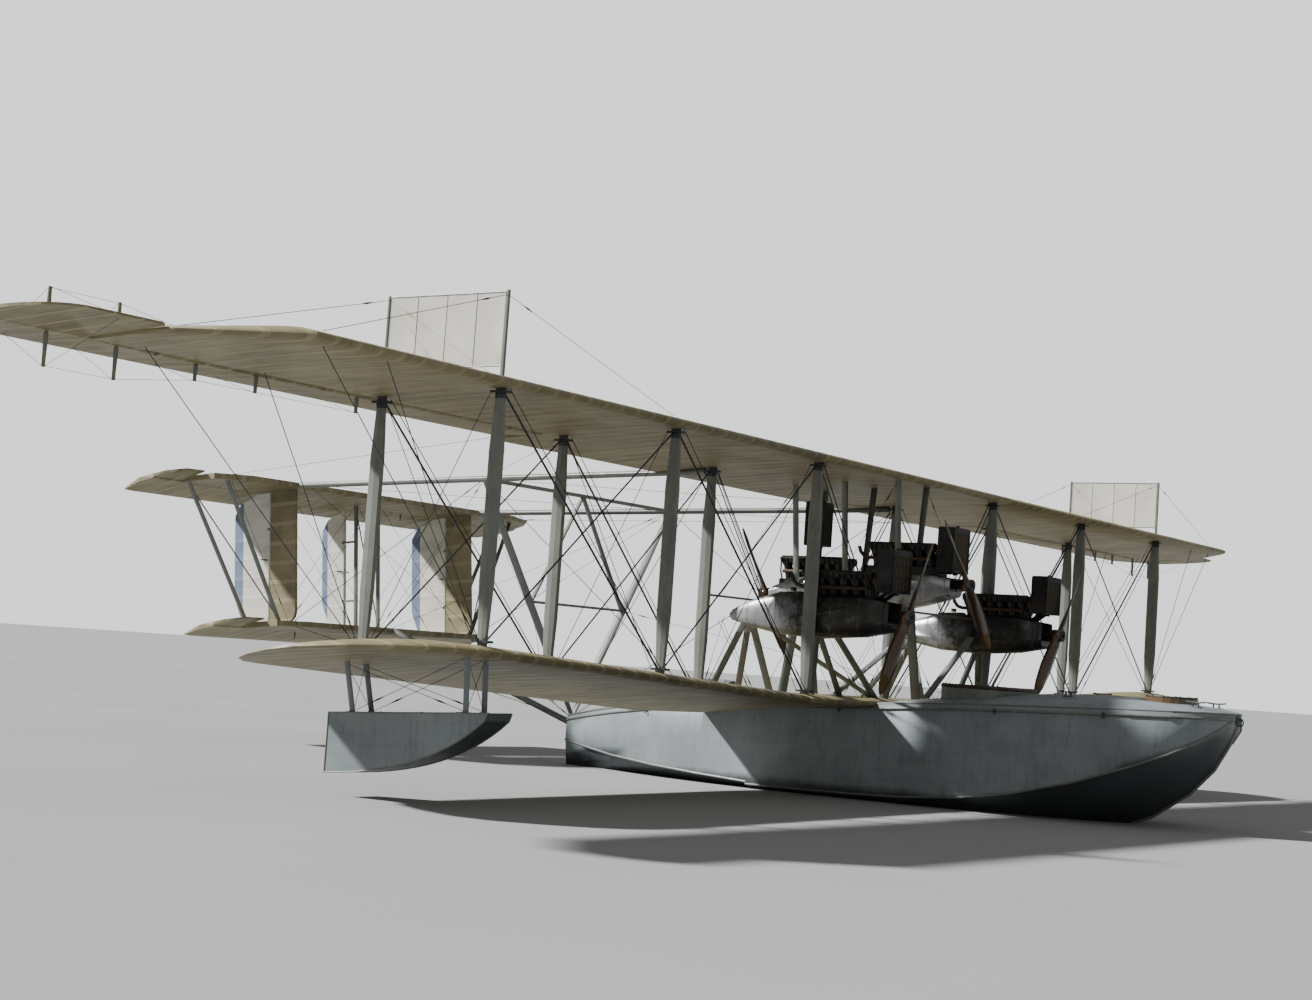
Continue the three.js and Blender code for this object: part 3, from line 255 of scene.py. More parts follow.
def addBlock(bm, size, centre, turn=None, rounding=0.0):
    place = Matrix.Translation(centre) @ (turn or Matrix.Identity(4)) @ Matrix.Diagonal((*size, 1))
    made = bmesh.ops.create_cube(bm, size=1, matrix=place)["verts"]
    if rounding:
        bmesh.ops.bevel(bm, geom=edgesOf(made), offset=rounding, affect="EDGES", segments=2, profile=0.5,
                        material=-1)


def addRing(bm, centre, axis, radius, thick, steps=24, corners=8):
    # a closed ring: a small circle spun about the axis
    turn = turnTo(axis)
    out = Matrix.Translation((radius, 0, 0)) @ Matrix.Rotation(math.pi / 2, 4, "X")
    place = Matrix.Translation(centre) @ turn @ out
    made = bmesh.ops.create_circle(bm, segments=corners, radius=thick, matrix=place)["verts"]
    bmesh.ops.spin(bm, geom=made + edgesOf(made), cent=centre, axis=turn.to_3x3() @ up, angle=2 * math.pi,
                   steps=steps, use_merge=True)
    reach = dict.fromkeys(face for vert in made for face in vert.link_faces)
    fresh = list(reach)
    while fresh:
        near = [other for face in fresh for edge in face.edges for other in edge.link_faces]
        fresh = [face for face in dict.fromkeys(near) if face not in reach]
        reach.update(dict.fromkeys(fresh))
    bmesh.ops.recalc_face_normals(bm, faces=list(reach))


def addPipe(bm, points, radius, corners=8):
    # a round pipe along a bent path, a circle at each point bridged to the next, its ends closed
    points = [Vector(p) for p in points]
    loops = []
    for i, point in enumerate(points):
        ahead = points[min(i + 1, len(points) - 1)] - points[max(i - 1, 0)]
        place = Matrix.Translation(point) @ turnTo(ahead)
        ring = bmesh.ops.create_circle(bm, segments=corners, radius=radius, matrix=place)["verts"]
        loops.append(edgesOf(ring))
    made = []
    for first, second in zip(loops, loops[1:]):
        made += bmesh.ops.bridge_loops(bm, edges=first + second)["faces"]
    for loop in (loops[0], loops[-1]):
        made += bmesh.ops.edgeloop_fill(bm, edges=loop)["faces"]
    bmesh.ops.recalc_face_normals(bm, faces=made)


def slicesOf(bm, node, cuts, grow):
    # thin slices of a node's own shape, each a little proud of it: cuts are (point, direction, width)
    source = bmesh.new()
    source.from_mesh(nodes[node].data)
    bmesh.ops.remove_doubles(source, verts=source.verts, dist=mergeDistance)
    whole = bpy.data.meshes.new("slice")
    source.to_mesh(whole)
    source.free()
    for point, direction, width in cuts:
        part = bmesh.new()
        part.from_mesh(whole)
        direction = Vector(direction).normalized()
        for sign in (-1, 1):
            geometry = part.verts[:] + part.edges[:] + part.faces[:]
            edge = Vector(point) + direction * sign * width / 2
            cut = bmesh.ops.bisect_plane(part, geom=geometry, plane_co=edge, plane_no=direction * sign,
                                         clear_outer=True)["geom_cut"]
            edges = [item for item in cut if isinstance(item, bmesh.types.BMEdge)]
            if edges:
                bmesh.ops.triangle_fill(part, use_beauty=True, edges=edges)
        bmesh.ops.recalc_face_normals(part, faces=part.faces)
        part.normal_update()
        moves = [(vert, vert.normal.copy()) for vert in part.verts]
        for vert, normal in moves:
            vert.co += normal * grow
        mesh = bpy.data.meshes.new("slice")
        part.to_mesh(mesh)
        part.free()
        bm.from_mesh(mesh)
        bpy.data.meshes.remove(mesh)
    bpy.data.meshes.remove(whole)


def dress(material, *names):
    for name in names:
        node = nodes[name]
        node.data.materials.clear()
        node.data.materials.append(material)
        node.data.polygons.foreach_set("material_index", [0] * len(node.data.polygons))


# Finishes

linenLook = {
    "pale": "#877d5d", "deep": "#685f45", "stain": "#5f563f", "tape": "#9c9272", "tapeOnPaint": "#3a3a38",
    "ribSpacing": 0.406, "tapeWidth": 0.11, "sag": 0.010, "weave": 9, "cloud": 900, "blot": 420,
}


def clothFinish(name, look, ribAxis="Y", stripes=None, pitch=0.0, centre=(0, 0, 0)):
    # Doped linen over ribs: cotton-like matt gloss, pulled taut so it dips between the ribs,
    # with frayed tapes over each rib and brown oil and water stains.
    material, tree, shader, place = startMaterial(name, 0.5, ior=1.47)
    moved = addNode(tree, "Mapping", {"Location": (-centre[0], -centre[1], -centre[2])}, {"Vector": place})
    turned = addNode(tree, "Mapping", {"Rotation": (0, pitch, 0)}, {"Vector": moved.outputs[0]})
    along = addNode(tree, "SeparateXYZ", {}, {0: turned.outputs[0]})
    bays = addNode(tree, "Math", {"operation": "DIVIDE", 1: look["ribSpacing"]}, {0: along.outputs[ribAxis]})
    fromRib = addNode(tree, "Math", {"operation": "PINGPONG", 1: 0.5}, {0: bays.outputs[0]})
    tapes = addNode(tree, "ValToRGB", {"stops": [(look["tapeWidth"] * 0.8, 1.0), (look["tapeWidth"], 0.0)]},
                    {"Fac": fromRib.outputs[0]})
    clouds = addNode(tree, "TexNoise", {"Scale": perMetre(look["cloud"]), "Detail": 6.0, "Roughness": 0.6},
                     {"Vector": turned.outputs[0]})
    streaks = addNode(tree, "Mapping", {"Scale": (0.35, 3.0, 1.0)}, {"Vector": turned.outputs[0]})
    stains = addNode(tree, "TexNoise", {"Scale": perMetre(look["blot"]), "Detail": 8.0, "Roughness": 0.7},
                     {"Vector": streaks.outputs[0]})
    if stripes:
        colour = addNode(tree, "ValToRGB", {"stops": stripes["stops"]})
        colour.color_ramp.interpolation = "CONSTANT"
        chord = addNode(tree, "MapRange", {"From Min": 0.0, "From Max": -stripes["chord"]},
                        {"Value": along.outputs["X"]})
        tree.links.new(chord.outputs[0], colour.inputs["Fac"])
    else:
        colour = addNode(tree, "ValToRGB", {"stops": [(0.3, look["deep"]), (0.68, look["pale"])]},
                         {"Fac": clouds.outputs["Fac"]})
    stainShare = addNode(tree, "ValToRGB", {"stops": [(0.52, 0.0), (0.8, 0.55)]},
                         {"Fac": stains.outputs["Fac"]})
    stained = addNode(tree, "Mix",
                      {"data_type": "RGBA", "blend_type": "MULTIPLY", 7: toLinear(look["stain"])},
                      {0: stainShare.outputs[0], 6: colour.outputs[0]})
    tapeShare = addNode(tree, "Math", {"operation": "MULTIPLY", 1: 0.45}, {0: tapes.outputs[0]})
    over = {"data_type": "RGBA", 7: toLinear(look["tape"])}
    if stripes:
        over = {"data_type": "RGBA", "blend_type": "SCREEN", 7: toLinear(look["tapeOnPaint"])}
    taped = addNode(tree, "Mix", over, {0: tapeShare.outputs[0], 6: stained.outputs[2]})
    tree.links.new(taped.outputs[2], shader.inputs["Base Color"])
    gloss = addNode(tree, "MapRange", {"From Min": 0.3, "From Max": 0.7, "To Min": 0.42, "To Max": 0.68},
                    {"Value": stains.outputs["Fac"]})
    tree.links.new(gloss.outputs[0], shader.inputs["Roughness"])
    # the real weave is half a millimetre; it is drawn at nine so that it shows at all
    weave = addNode(tree, "TexVoronoi", {"Scale": perMetre(look["weave"]), "feature": "SMOOTH_F1"},
                    {"Vector": turned.outputs[0]})
    sag = addNode(tree, "Math", {"operation": "POWER", 1: 0.5}, {0: fromRib.outputs[0]})
    sagBump = addNode(tree, "Bump", {"Strength": 0.8, "Distance": look["sag"], "invert": True},
                      {"Height": sag.outputs[0]})
    tapeBump = addNode(tree, "Bump", {"Strength": 0.7, "Distance": 0.002},
                       {"Height": tapes.outputs[0], "Normal": sagBump.outputs[0]})
    weaveBump = addNode(tree, "Bump", {"Strength": 0.25, "Distance": 0.001},
                        {"Height": weave.outputs["Distance"], "Normal": tapeBump.outputs[0]})
    tree.links.new(weaveBump.outputs[0], shader.inputs["Normal"])
    return material


rudderStripes = [(0.0, "#c2c1b8"), (0.74, "#647189")]

paintLook = {
    "hull": {
        "pale": "#7b8284", "deep": "#666c70", "worn": "#4c5155", "grain": 260, "stroke": 12,
        # bottom is the painted shade given to every face that looks down
        "plank": 0.16, "sheer": -0.06, "bottom": "#3c4144", "weed": "#33383a", "damp": "#62686a",
        "tide": 0.16,
    },
    "strut": {"pale": "#6d7069", "deep": "#5a5d59", "worn": "#414240", "grain": 160, "stroke": 12,
              "plank": 0.0},
}


def paintFinish(name, look, roughness):
    # Grey oil paint brushed on planked wood: low gloss, seams between planks, chalky and rubbed patches.
    material, tree, shader, place = startMaterial(name, roughness, ior=1.5)
    clouds = addNode(tree, "TexNoise",
                     {"Scale": perMetre(look["grain"] * 4), "Detail": 7.0, "Roughness": 0.62},
                     {"Vector": place})
    colour = addNode(tree, "ValToRGB", {"stops": [(0.3, look["deep"]), (0.66, look["pale"])]},
                     {"Fac": clouds.outputs["Fac"]})
    runs = addNode(tree, "Mapping", {"Scale": (2.6, 2.6, 0.5)}, {"Vector": place})
    dirt = addNode(tree, "TexNoise", {"Scale": perMetre(look["grain"]), "Detail": 9.0, "Roughness": 0.72},
                   {"Vector": runs.outputs[0]})
    dirtShare = addNode(tree, "ValToRGB", {"stops": [(0.5, 0.0), (0.78, 0.6)]}, {"Fac": dirt.outputs["Fac"]})
    worn = addNode(tree, "Mix", {"data_type": "RGBA", 7: toLinear(look["worn"])},
                   {0: dirtShare.outputs[0], 6: colour.outputs[0]})
    brush = addNode(tree, "Mapping", {"Scale": (0.15, 1.0, 1.0)}, {"Vector": place})
    strokes = addNode(tree, "TexNoise", {"Scale": perMetre(look["stroke"]), "Detail": 3.0},
                      {"Vector": brush.outputs[0]})
    strokeBump = addNode(tree, "Bump", {"Strength": 0.18, "Distance": 0.001},
                         {"Height": strokes.outputs["Fac"]})
    last, normal = worn.outputs[2], strokeBump.outputs[0]
    if look["plank"]:
        apart = addNode(tree, "SeparateXYZ", {}, {0: place})
        lift = addNode(tree, "Math", {"operation": "MULTIPLY_ADD", 1: look["sheer"]},
                       {0: apart.outputs["X"], 2: apart.outputs["Z"]})
        planks = addNode(tree, "Math", {"operation": "DIVIDE", 1: look["plank"]}, {0: lift.outputs[0]})
        fromSeam = addNode(tree, "Math", {"operation": "PINGPONG", 1: 0.5}, {0: planks.outputs[0]})
        seams = addNode(tree, "ValToRGB", {"stops": [(0.0, 0.0), (0.035, 1.0)]}, {"Fac": fromSeam.outputs[0]})
        seamed = addNode(tree, "Mix", {"data_type": "RGBA", "blend_type": "MULTIPLY", 0: 0.16},
                         {6: last, 7: seams.outputs[0]})
        plankBump = addNode(tree, "Bump", {"Strength": 0.35, "Distance": 0.003},
                            {"Height": seams.outputs[0], "Normal": normal})
        # wet and weedy for a hand's breadth above the water, dark bottom paint below it
        wetness = addNode(tree, "TexNoise", {"Scale": perMetre(350), "Detail": 5.0}, {"Vector": place})
        tide = addNode(tree, "Math", {"operation": "MULTIPLY_ADD", 1: look["tide"], 2: -0.02},
                       {0: wetness.outputs["Fac"]})
        above = addNode(tree, "Math", {"operation": "SUBTRACT"}, {0: apart.outputs["Z"], 1: tide.outputs[0]})
        wet = addNode(tree, "ValToRGB",
                      {"stops": [(0.0, look["weed"]), (0.1, look["damp"]), (0.22, "#ffffff")]},
                      {"Fac": above.outputs[0]})
        soaked = addNode(tree, "Mix", {"data_type": "RGBA", "blend_type": "MULTIPLY", 0: 1.0},
                         {6: seamed.outputs[2], 7: wet.outputs[0]})
        # painted shade under the hull and floats: every face that looks down, from the chine to the keel, is
        # darkened
        facing = addNode(tree, "SeparateXYZ", {}, {0: addNode(tree, "TexCoord").outputs["Normal"]})
        down = addNode(tree, "MapRange", {"From Min": -0.25, "From Max": -0.4},
                       {"Value": facing.outputs["Z"]})
        bottom = addNode(tree, "Mix", {"data_type": "RGBA", 7: toLinear(look["bottom"])},
                         {0: down.outputs[0], 6: soaked.outputs[2]})
        last, normal = bottom.outputs[2], plankBump.outputs[0]
    tree.links.new(last, shader.inputs["Base Color"])
    tree.links.new(normal, shader.inputs["Normal"])
    gloss = addNode(tree, "MapRange", {"From Min": 0.3, "From Max": 0.75, "To Min": roughness - 0.12,
                                       "To Max": roughness + 0.15}, {"Value": dirt.outputs["Fac"]})
    tree.links.new(gloss.outputs[0], shader.inputs["Roughness"])
    return material


# colours, grain in millimetres, roughness and how metallic each metal reads under its dirt
metalColumns = ("pale", "deep", "dirt", "grain", "rough", "metal")
metalRows = {
    "nacelle": ("#b4b6b6", "#85878a", "#2a2724", 70, 0.33, 0.8),
    "engine": ("#3c3c3b", "#1f1f20", "#100e0c", 40, 0.45, 0.7),
    "cylinder": ("#4a4b4c", "#2b2b2c", "#18140f", 25, 0.38, 0.85),
    "fitting": ("#55585a", "#3c3f41", "#2d241b", 20, 0.48, 0.8),
    "exhaust": ("#5a4a3e", "#37302b", "#221b17", 30, 0.6, 0.7),
    "brass": ("#6a5834", "#4b3e26", "#2a2216", 30, 0.42, 0.9),
    "copper": ("#9a5f42", "#784430", "#3d271d", 30, 0.35, 1.0),
    "cable": ("#4d5052", "#343638", "#26211c", 10, 0.4, 0.85),
}
metalLook = {metal: dict(zip(metalColumns, row)) for metal, row in metalRows.items()}
# the nacelles' sheet: stud spacing in millimetres, panel length, where its darkening toward the front begins,
# where it ends and how dark it gets, and the middle and half width of the box that holds the sheet, outside
# which its struts stand
sheetLook = {
    "outboard": {"rivet": 48, "panel": 0.38, "frontDarkening": (-0.5, 0.9, 0.58), "across": (3.12, 0.34),
                 "high": (3.2, 0.4)},
    "centre": {"rivet": 48, "panel": 0.38, "frontDarkening": None, "across": (0.0, 0.36), "high": (3.85, 0.43)},
}


def metalFinish(name, look, sheet=None):
    # Worn sheet or cast metal: fine scratches, a hammered unevenness, oil and soot in the low places.
    material, tree, shader, place = startMaterial(name, look["rough"], look["metal"])
    clouds = addNode(tree, "TexNoise",
                     {"Scale": perMetre(look["grain"] * 6), "Detail": 6.0, "Roughness": 0.6},
                     {"Vector": place})
    colour = addNode(tree, "ValToRGB", {"stops": [(0.35, look["deep"]), (0.65, look["pale"])]},
                     {"Fac": clouds.outputs["Fac"]})
    soot = addNode(tree, "TexNoise",
                   {"Scale": perMetre(look["grain"] * 3), "Detail": 10.0, "Roughness": 0.75},
                   {"Vector": place})
    sootShare = addNode(tree, "ValToRGB", {"stops": [(0.5, 0.0), (0.75, 0.85)]}, {"Fac": soot.outputs["Fac"]})
    dirty = addNode(tree, "Mix", {"data_type": "RGBA", 7: toLinear(look["dirt"])},
                    {0: sootShare.outputs[0], 6: colour.outputs[0]})
    last = dirty.outputs[2]
    apart = addNode(tree, "SeparateXYZ", {}, {0: place}) if sheet else None
    if sheet and sheet["frontDarkening"]:
        # the sheet is darkened in blotches from where the cone ends to the engine's front
        start, end, most = sheet["frontDarkening"]
        share = addNode(tree, "MapRange", {"From Min": start, "From Max": end, "To Max": most},
                        {"Value": apart.outputs["X"]})
        frontDarkNoise = addNode(tree, "Math", {"operation": "MULTIPLY_ADD", 1: 0.9},
                          {0: soot.outputs["Fac"], 2: share.outputs[0]})
        frontDarkening = addNode(tree, "ValToRGB", {"stops": [(0.55, 0.0), (1.0, 0.94)]}, {"Fac": frontDarkNoise.outputs[0]})
        frontDarkened = addNode(tree, "Mix", {"data_type": "RGBA", 7: toLinear(look["dirt"])},
                            {0: frontDarkening.outputs[0], 6: last})
        last = frontDarkened.outputs[2]
    if sheet:
        # outside the sheet's own box stand the bearer struts, painted as the wing struts are
        out = addNode(tree, "Math", {"operation": "ABSOLUTE"}, {0: apart.outputs["Y"]})
        beyond = []
        checks = ((out.outputs[0], *sheet["across"]), (apart.outputs["Z"], *sheet["high"]))
        for source, middle, half in checks:
            offset = addNode(tree, "Math", {"operation": "SUBTRACT", 1: middle}, {0: source})
            size = addNode(tree, "Math", {"operation": "ABSOLUTE"}, {0: offset.outputs[0]})
            beyond.append(addNode(tree, "Math", {"operation": "GREATER_THAN", 1: half}, {0: size.outputs[0]}))
        legs = addNode(tree, "Math", {"operation": "MAXIMUM"},
                       {0: beyond[0].outputs[0], 1: beyond[1].outputs[0]})
        stops = [(0.3, paintLook["strut"]["deep"]), (0.66, paintLook["strut"]["pale"])]
        paint = addNode(tree, "ValToRGB", {"stops": stops}, {"Fac": clouds.outputs["Fac"]})
        painted = addNode(tree, "Mix", {"data_type": "RGBA"},
                          {0: legs.outputs[0], 6: last, 7: paint.outputs[0]})
        bare = addNode(tree, "MapRange", {"To Min": look["metal"], "To Max": 0.0}, {"Value": legs.outputs[0]})
        tree.links.new(bare.outputs[0], shader.inputs["Metallic"])
        last = painted.outputs[2]
    tree.links.new(last, shader.inputs["Base Color"])
    gloss = addNode(tree, "MapRange", {"From Min": 0.3, "From Max": 0.75, "To Min": look["rough"] - 0.1,
                                       "To Max": look["rough"] + 0.25}, {"Value": soot.outputs["Fac"]})
    tree.links.new(gloss.outputs[0], shader.inputs["Roughness"])
    grain = addNode(tree, "TexNoise", {"Scale": perMetre(look["grain"]), "Detail": 4.0}, {"Vector": place})
    bump = addNode(tree, "Bump", {"Strength": 0.3, "Distance": 0.002}, {"Height": grain.outputs["Fac"]})
    if sheet:
        # a lap seam with a row of snap rivets at each panel's end
        studs = addNode(tree, "TexVoronoi", {"Scale": perMetre(sheet["rivet"]), "Randomness": 0.0},
                        {"Vector": place})
        heads = addNode(tree, "ValToRGB", {"stops": [(0.1, 1.0), (0.16, 0.0)]},
                        {"Fac": studs.outputs["Distance"]})
        panels = addNode(tree, "Math", {"operation": "DIVIDE", 1: sheet["panel"]}, {0: apart.outputs["X"]})
        fromSeam = addNode(tree, "Math", {"operation": "PINGPONG", 1: 0.5}, {0: panels.outputs[0]})
        nearSeam = addNode(tree, "Math", {"operation": "LESS_THAN", 1: 0.09}, {0: fromSeam.outputs[0]})
        row = addNode(tree, "Math", {"operation": "MULTIPLY"}, {0: heads.outputs[0], 1: nearSeam.outputs[0]})
        seam = addNode(tree, "ValToRGB", {"stops": [(0.0, 0.0), (0.012, 1.0)]}, {"Fac": fromSeam.outputs[0]})
        relief = addNode(tree, "Math", {"operation": "ADD"}, {0: row.outputs[0], 1: seam.outputs[0]})
        bump = addNode(tree, "Bump", {"Strength": 0.9, "Distance": 0.003},
                       {"Height": relief.outputs[0], "Normal": bump.outputs[0]})
    tree.links.new(bump.outputs[0], shader.inputs["Normal"])
    return material


woodLook = {
    "blade": {"pale": "#4f3320", "deep": "#301d11", "line": "#1d1109", "layer": 26, "ring": 14},
    "spruce": {"pale": "#6b5030", "deep": "#49351f", "line": "#1d1109", "layer": 26, "ring": 14},
}


def varnishedWood(name, look, centre=(0, 0, 0), turn=0.0):
    # Varnished hardwood glued up from boards: glossy coat over long grain, dark glue lines at each layer.
    material, tree, shader, place = startMaterial(name, 0.28, ior=1.52)
    shader.inputs["Coat Weight"].default_value = 0.45
    shader.inputs["Coat Roughness"].default_value = 0.12
    moved = addNode(tree, "Mapping", {"Location": (-centre[0], -centre[1], -centre[2])}, {"Vector": place})
    turned = addNode(tree, "Mapping", {"Rotation": (-turn, 0, 0)}, {"Vector": moved.outputs[0]})
    long = addNode(tree, "Mapping", {"Scale": (1.0, 1.0, 0.06)}, {"Vector": turned.outputs[0]})
    rings = {"Scale": perMetre(look["ring"]), "Detail": 8.0, "Roughness": 0.6, "Distortion": 0.6}
    grain = addNode(tree, "TexNoise", rings, {"Vector": long.outputs[0]})
    colour = addNode(tree, "ValToRGB", {"stops": [(0.35, look["deep"]), (0.62, look["pale"])]},
                     {"Fac": grain.outputs["Fac"]})
    apart = addNode(tree, "SeparateXYZ", {}, {0: turned.outputs[0]})
    layers = addNode(tree, "Math", {"operation": "MULTIPLY", 1: perMetre(look["layer"])},
                     {0: apart.outputs["X"]})
    fromLine = addNode(tree, "Math", {"operation": "PINGPONG", 1: 0.5}, {0: layers.outputs[0]})
    lines = addNode(tree, "ValToRGB", {"stops": [(0.03, 0.7), (0.09, 0.0)]}, {"Fac": fromLine.outputs[0]})
    glued = addNode(tree, "Mix", {"data_type": "RGBA", 7: toLinear(look["line"])},
                    {0: lines.outputs[0], 6: colour.outputs[0]})
    tree.links.new(glued.outputs[2], shader.inputs["Base Color"])
    bump = addNode(tree, "Bump", {"Strength": 0.12, "Distance": 0.001}, {"Height": grain.outputs["Fac"]})
    tree.links.new(bump.outputs[0], shader.inputs["Normal"])
    return material


leatherLook = {"pale": "#3f2c20", "deep": "#271a13", "rub": "#5f4733", "grain": 7, "patch": 130}


def paddedLeather(name, look):
    # Upholstery hide: pebbled grain, dull where dry and paler where hands and coats rub it.
    material, tree, shader, place = startMaterial(name, 0.55, ior=1.48)
    pebbles = addNode(tree, "TexVoronoi", {"Scale": perMetre(look["grain"]), "feature": "F1"},
                      {"Vector": place})
    clouds = addNode(tree, "TexNoise", {"Scale": perMetre(look["patch"]), "Detail": 6.0, "Roughness": 0.65},
                     {"Vector": place})
    colour = addNode(tree, "ValToRGB",
                     {"stops": [(0.3, look["deep"]), (0.6, look["pale"]), (0.78, look["rub"])]},
                     {"Fac": clouds.outputs["Fac"]})
    tree.links.new(colour.outputs[0], shader.inputs["Base Color"])
    gloss = addNode(tree, "MapRange", {"From Min": 0.3, "From Max": 0.75, "To Min": 0.62, "To Max": 0.4},
                    {"Value": clouds.outputs["Fac"]})
    tree.links.new(gloss.outputs[0], shader.inputs["Roughness"])
    bump = addNode(tree, "Bump", {"Strength": 0.5, "Distance": 0.0012, "invert": True},
                   {"Height": pebbles.outputs["Distance"]})
    tree.links.new(bump.outputs[0], shader.inputs["Normal"])
    return material


coreLook = {"brass": "#4b4030", "cellShade": "#0d0c0b", "cell": 18}


def radiatorCore(name, look):
    # Honeycomb of thin brass tubes, blackened by heat, with painted shade: each cell's open middle is near
    # black, as the inside of its tube lies in shade; the 8 mm cells are drawn at 18 so that they show.
    material, tree, shader, place = startMaterial(name, 0.5, 0.6)
    cells = addNode(tree, "TexVoronoi", {"Scale": perMetre(look["cell"]), "Randomness": 0.12},
                    {"Vector": place})
    # painted shade: the middle of each cell is near black, the brass walls between cells are lighter
    colour = addNode(tree, "ValToRGB", {"stops": [(0.25, look["cellShade"]), (0.5, look["brass"])]},
                     {"Fac": cells.outputs["Distance"]})
    tree.links.new(colour.outputs[0], shader.inputs["Base Color"])
    bump = addNode(tree, "Bump", {"Strength": 1.0, "Distance": 0.006}, {"Height": cells.outputs["Distance"]})
    tree.links.new(bump.outputs[0], shader.inputs["Normal"])
    return material


rubberLook = {"pale": "#2a2826", "deep": "#171615", "wrap": 22, "turn": 6.3}


def clothRubber(name, look):
    # Cloth-wrapped rubber hose: matt black with the spiral of the wrapping showing through.
    material, tree, shader, place = startMaterial(name, 0.78, ior=1.52)
    # a wave texture's stripe is a full turn of its sine
    wrapping = {"Scale": perMetre(look["wrap"]) / look["turn"], "Distortion": 1.5, "Detail": 2.0}
    spiral = addNode(tree, "TexWave", wrapping, {"Vector": place})
    colour = addNode(tree, "ValToRGB", {"stops": [(0.2, look["deep"]), (0.8, look["pale"])]},
                     {"Fac": spiral.outputs["Fac"]})
    tree.links.new(colour.outputs[0], shader.inputs["Base Color"])
    bump = addNode(tree, "Bump", {"Strength": 0.4, "Distance": 0.001}, {"Height": spiral.outputs["Fac"]})
    tree.links.new(bump.outputs[0], shader.inputs["Normal"])
    return material


dialLook = {"face": "#e4dfd0", "mark": "#1a1a1a", "speck": 6}


def dialFace(name, look):
    # Printed card under glass: off-white with a faint speckle, glossy from the glass over it.
    material, tree, shader, place = startMaterial(name, 0.15, ior=1.5)
    speck = addNode(tree, "TexNoise", {"Scale": perMetre(look["speck"]), "Detail": 3.0}, {"Vector": place})
    colour = addNode(tree, "ValToRGB", {"stops": [(0.3, look["mark"]), (0.36, look["face"])]},
                     {"Fac": speck.outputs["Fac"]})
    tree.links.new(colour.outputs[0], shader.inputs["Base Color"])
    return material


# the boss's centre, the blades' turn from upright, and which way the propeller faces
propellers = {
    "port": {"hub": (2.67, 3.12, 3.2), "tilt": -0.66, "face": 1},
    "starboard": {"hub": (2.67, -3.12, 3.2), "tilt": -0.549, "face": 1},
    "front": {"hub": (2.23, 0, 3.93), "tilt": 0.77, "face": 1},
    "rear": {"hub": (-2.0, 0, 3.62), "tilt": 0.7, "face": -1},
}
# each rudder's leading edge in the level tail, and its chord
rudderShapes = {
    "Centre": {"hinge": (-12.73, 0, 3.8), "chord": 0.65},
    "Outer": {"hinge": (-12.215, 0, 3.8), "chord": 1.0},
}


def startsWith(*beginnings):
    return [name for name in nodes if name.startswith(beginnings)]


dopedLinen = clothFinish("dopedLinen", linenLook)
finLinen = clothFinish("dopedLinenUpright", linenLook, ribAxis="Z", pitch=tailUnit["pitch"])
rudderLinen = {}
for name, look in rudderShapes.items():
    stripes = {"stops": rudderStripes, "chord": look["chord"]}
    rudderLinen[name] = clothFinish("stripedLinen" + name, linenLook, "Z", stripes, tailUnit["pitch"],
                                    tailPoint(*look["hinge"]))
hullPaint = paintFinish("greyHullPaint", paintLook["hull"], 0.48)
strutPaint = paintFinish("greyStrutPaint", paintLook["strut"], 0.45)
frontDarkAluminium = metalFinish("frontDarkSheetAluminium", metalLook["nacelle"], sheetLook["outboard"])
sheetAluminium = metalFinish("sheetAluminium", metalLook["nacelle"], sheetLook["centre"])
blackenedIron = metalFinish("blackenedIron", metalLook["engine"])
bluedSteel = metalFinish("bluedSteelCylinder", metalLook["cylinder"])
forgedSteel = metalFinish("forgedSteelFitting", metalLook["fitting"])
scaledSteel = metalFinish("heatScaledSteel", metalLook["exhaust"])
sheetBrass = metalFinish("sheetBrass", metalLook["brass"])
drawnCopper = metalFinish("drawnCopper", metalLook["copper"])
steelCable = metalFinish("galvanisedCable", metalLook["cable"])
cockpitHide = paddedLeather("upholsteryHide", leatherLook)
cockpitWood = varnishedWood("varnishedSpruce", woodLook["spruce"])
honeycomb = radiatorCore("brassHoneycomb", coreLook)
hoseRubber = clothRubber("clothWrappedRubber", rubberLook)
dialCard = dialFace("printedDialCard", dialLook)

linenNodes = ("upper_wing", "lower_wing", "aileron", "tailplane", "elevator")
dress(dopedLinen, *startsWith(*linenNodes, "skid_fin"))
dress(finLinen, "fin_port", "fin_starboard")
dress(rudderLinen["Outer"], "rudder_port", "rudder_starboard")
dress(rudderLinen["Centre"], "rudder_centre")
dress(hullPaint, "hull", "aft_hatch", "float_port", "float_starboard")
dress(strutPaint, *startsWith("strut_", "tail_frame", "tail_boom", "stern_frame", "keel_boom"))
dress(strutPaint, "pilot_cockpit_coaming")
dress(frontDarkAluminium, "nacelle_port", "nacelle_starboard")
dress(sheetAluminium, "nacelle_centre")
dress(blackenedIron, *startsWith("engine_"))
dress(steelCable, "wing_stays_port", "wing_stays_starboard")
dress(cockpitHide, "pilot_seats")
dress(cockpitWood, "bow_cockpit_ring")
for name, look in propellers.items():
    blades = varnishedWood("laminatedWalnut_" + name, woodLook["blade"], look["hub"], look["tilt"])
    dress(blades, "propeller_" + name)
print("finishes are on the frame's nodes")


# Skins: the rounded nodes again with their doubles merged, shaded smooth and sharp only at their real edges

# for each group the nodes that get a skin, and the angle in degrees past which an edge stays sharp
skins = {
    "hull_paint": {"nodes": ("hull", "aft_hatch"), "sharp": 19},
    "nacelle_metal": {"nodes": ("nacelle_port", "nacelle_starboard", "nacelle_centre"), "sharp": 34},
    "propeller_wood": {"nodes": startsWith("propeller_"), "sharp": 50},
    "strut_paint": {"nodes": startsWith("tail_boom", "keel_boom"), "sharp": 40},
    "doped_linen": {"nodes": startsWith(*linenNodes), "sharp": 30},
}


def bodyOf(node):
    return node if node.startswith(("propeller", "aileron", "elevator", "rudder")) else "airframe"


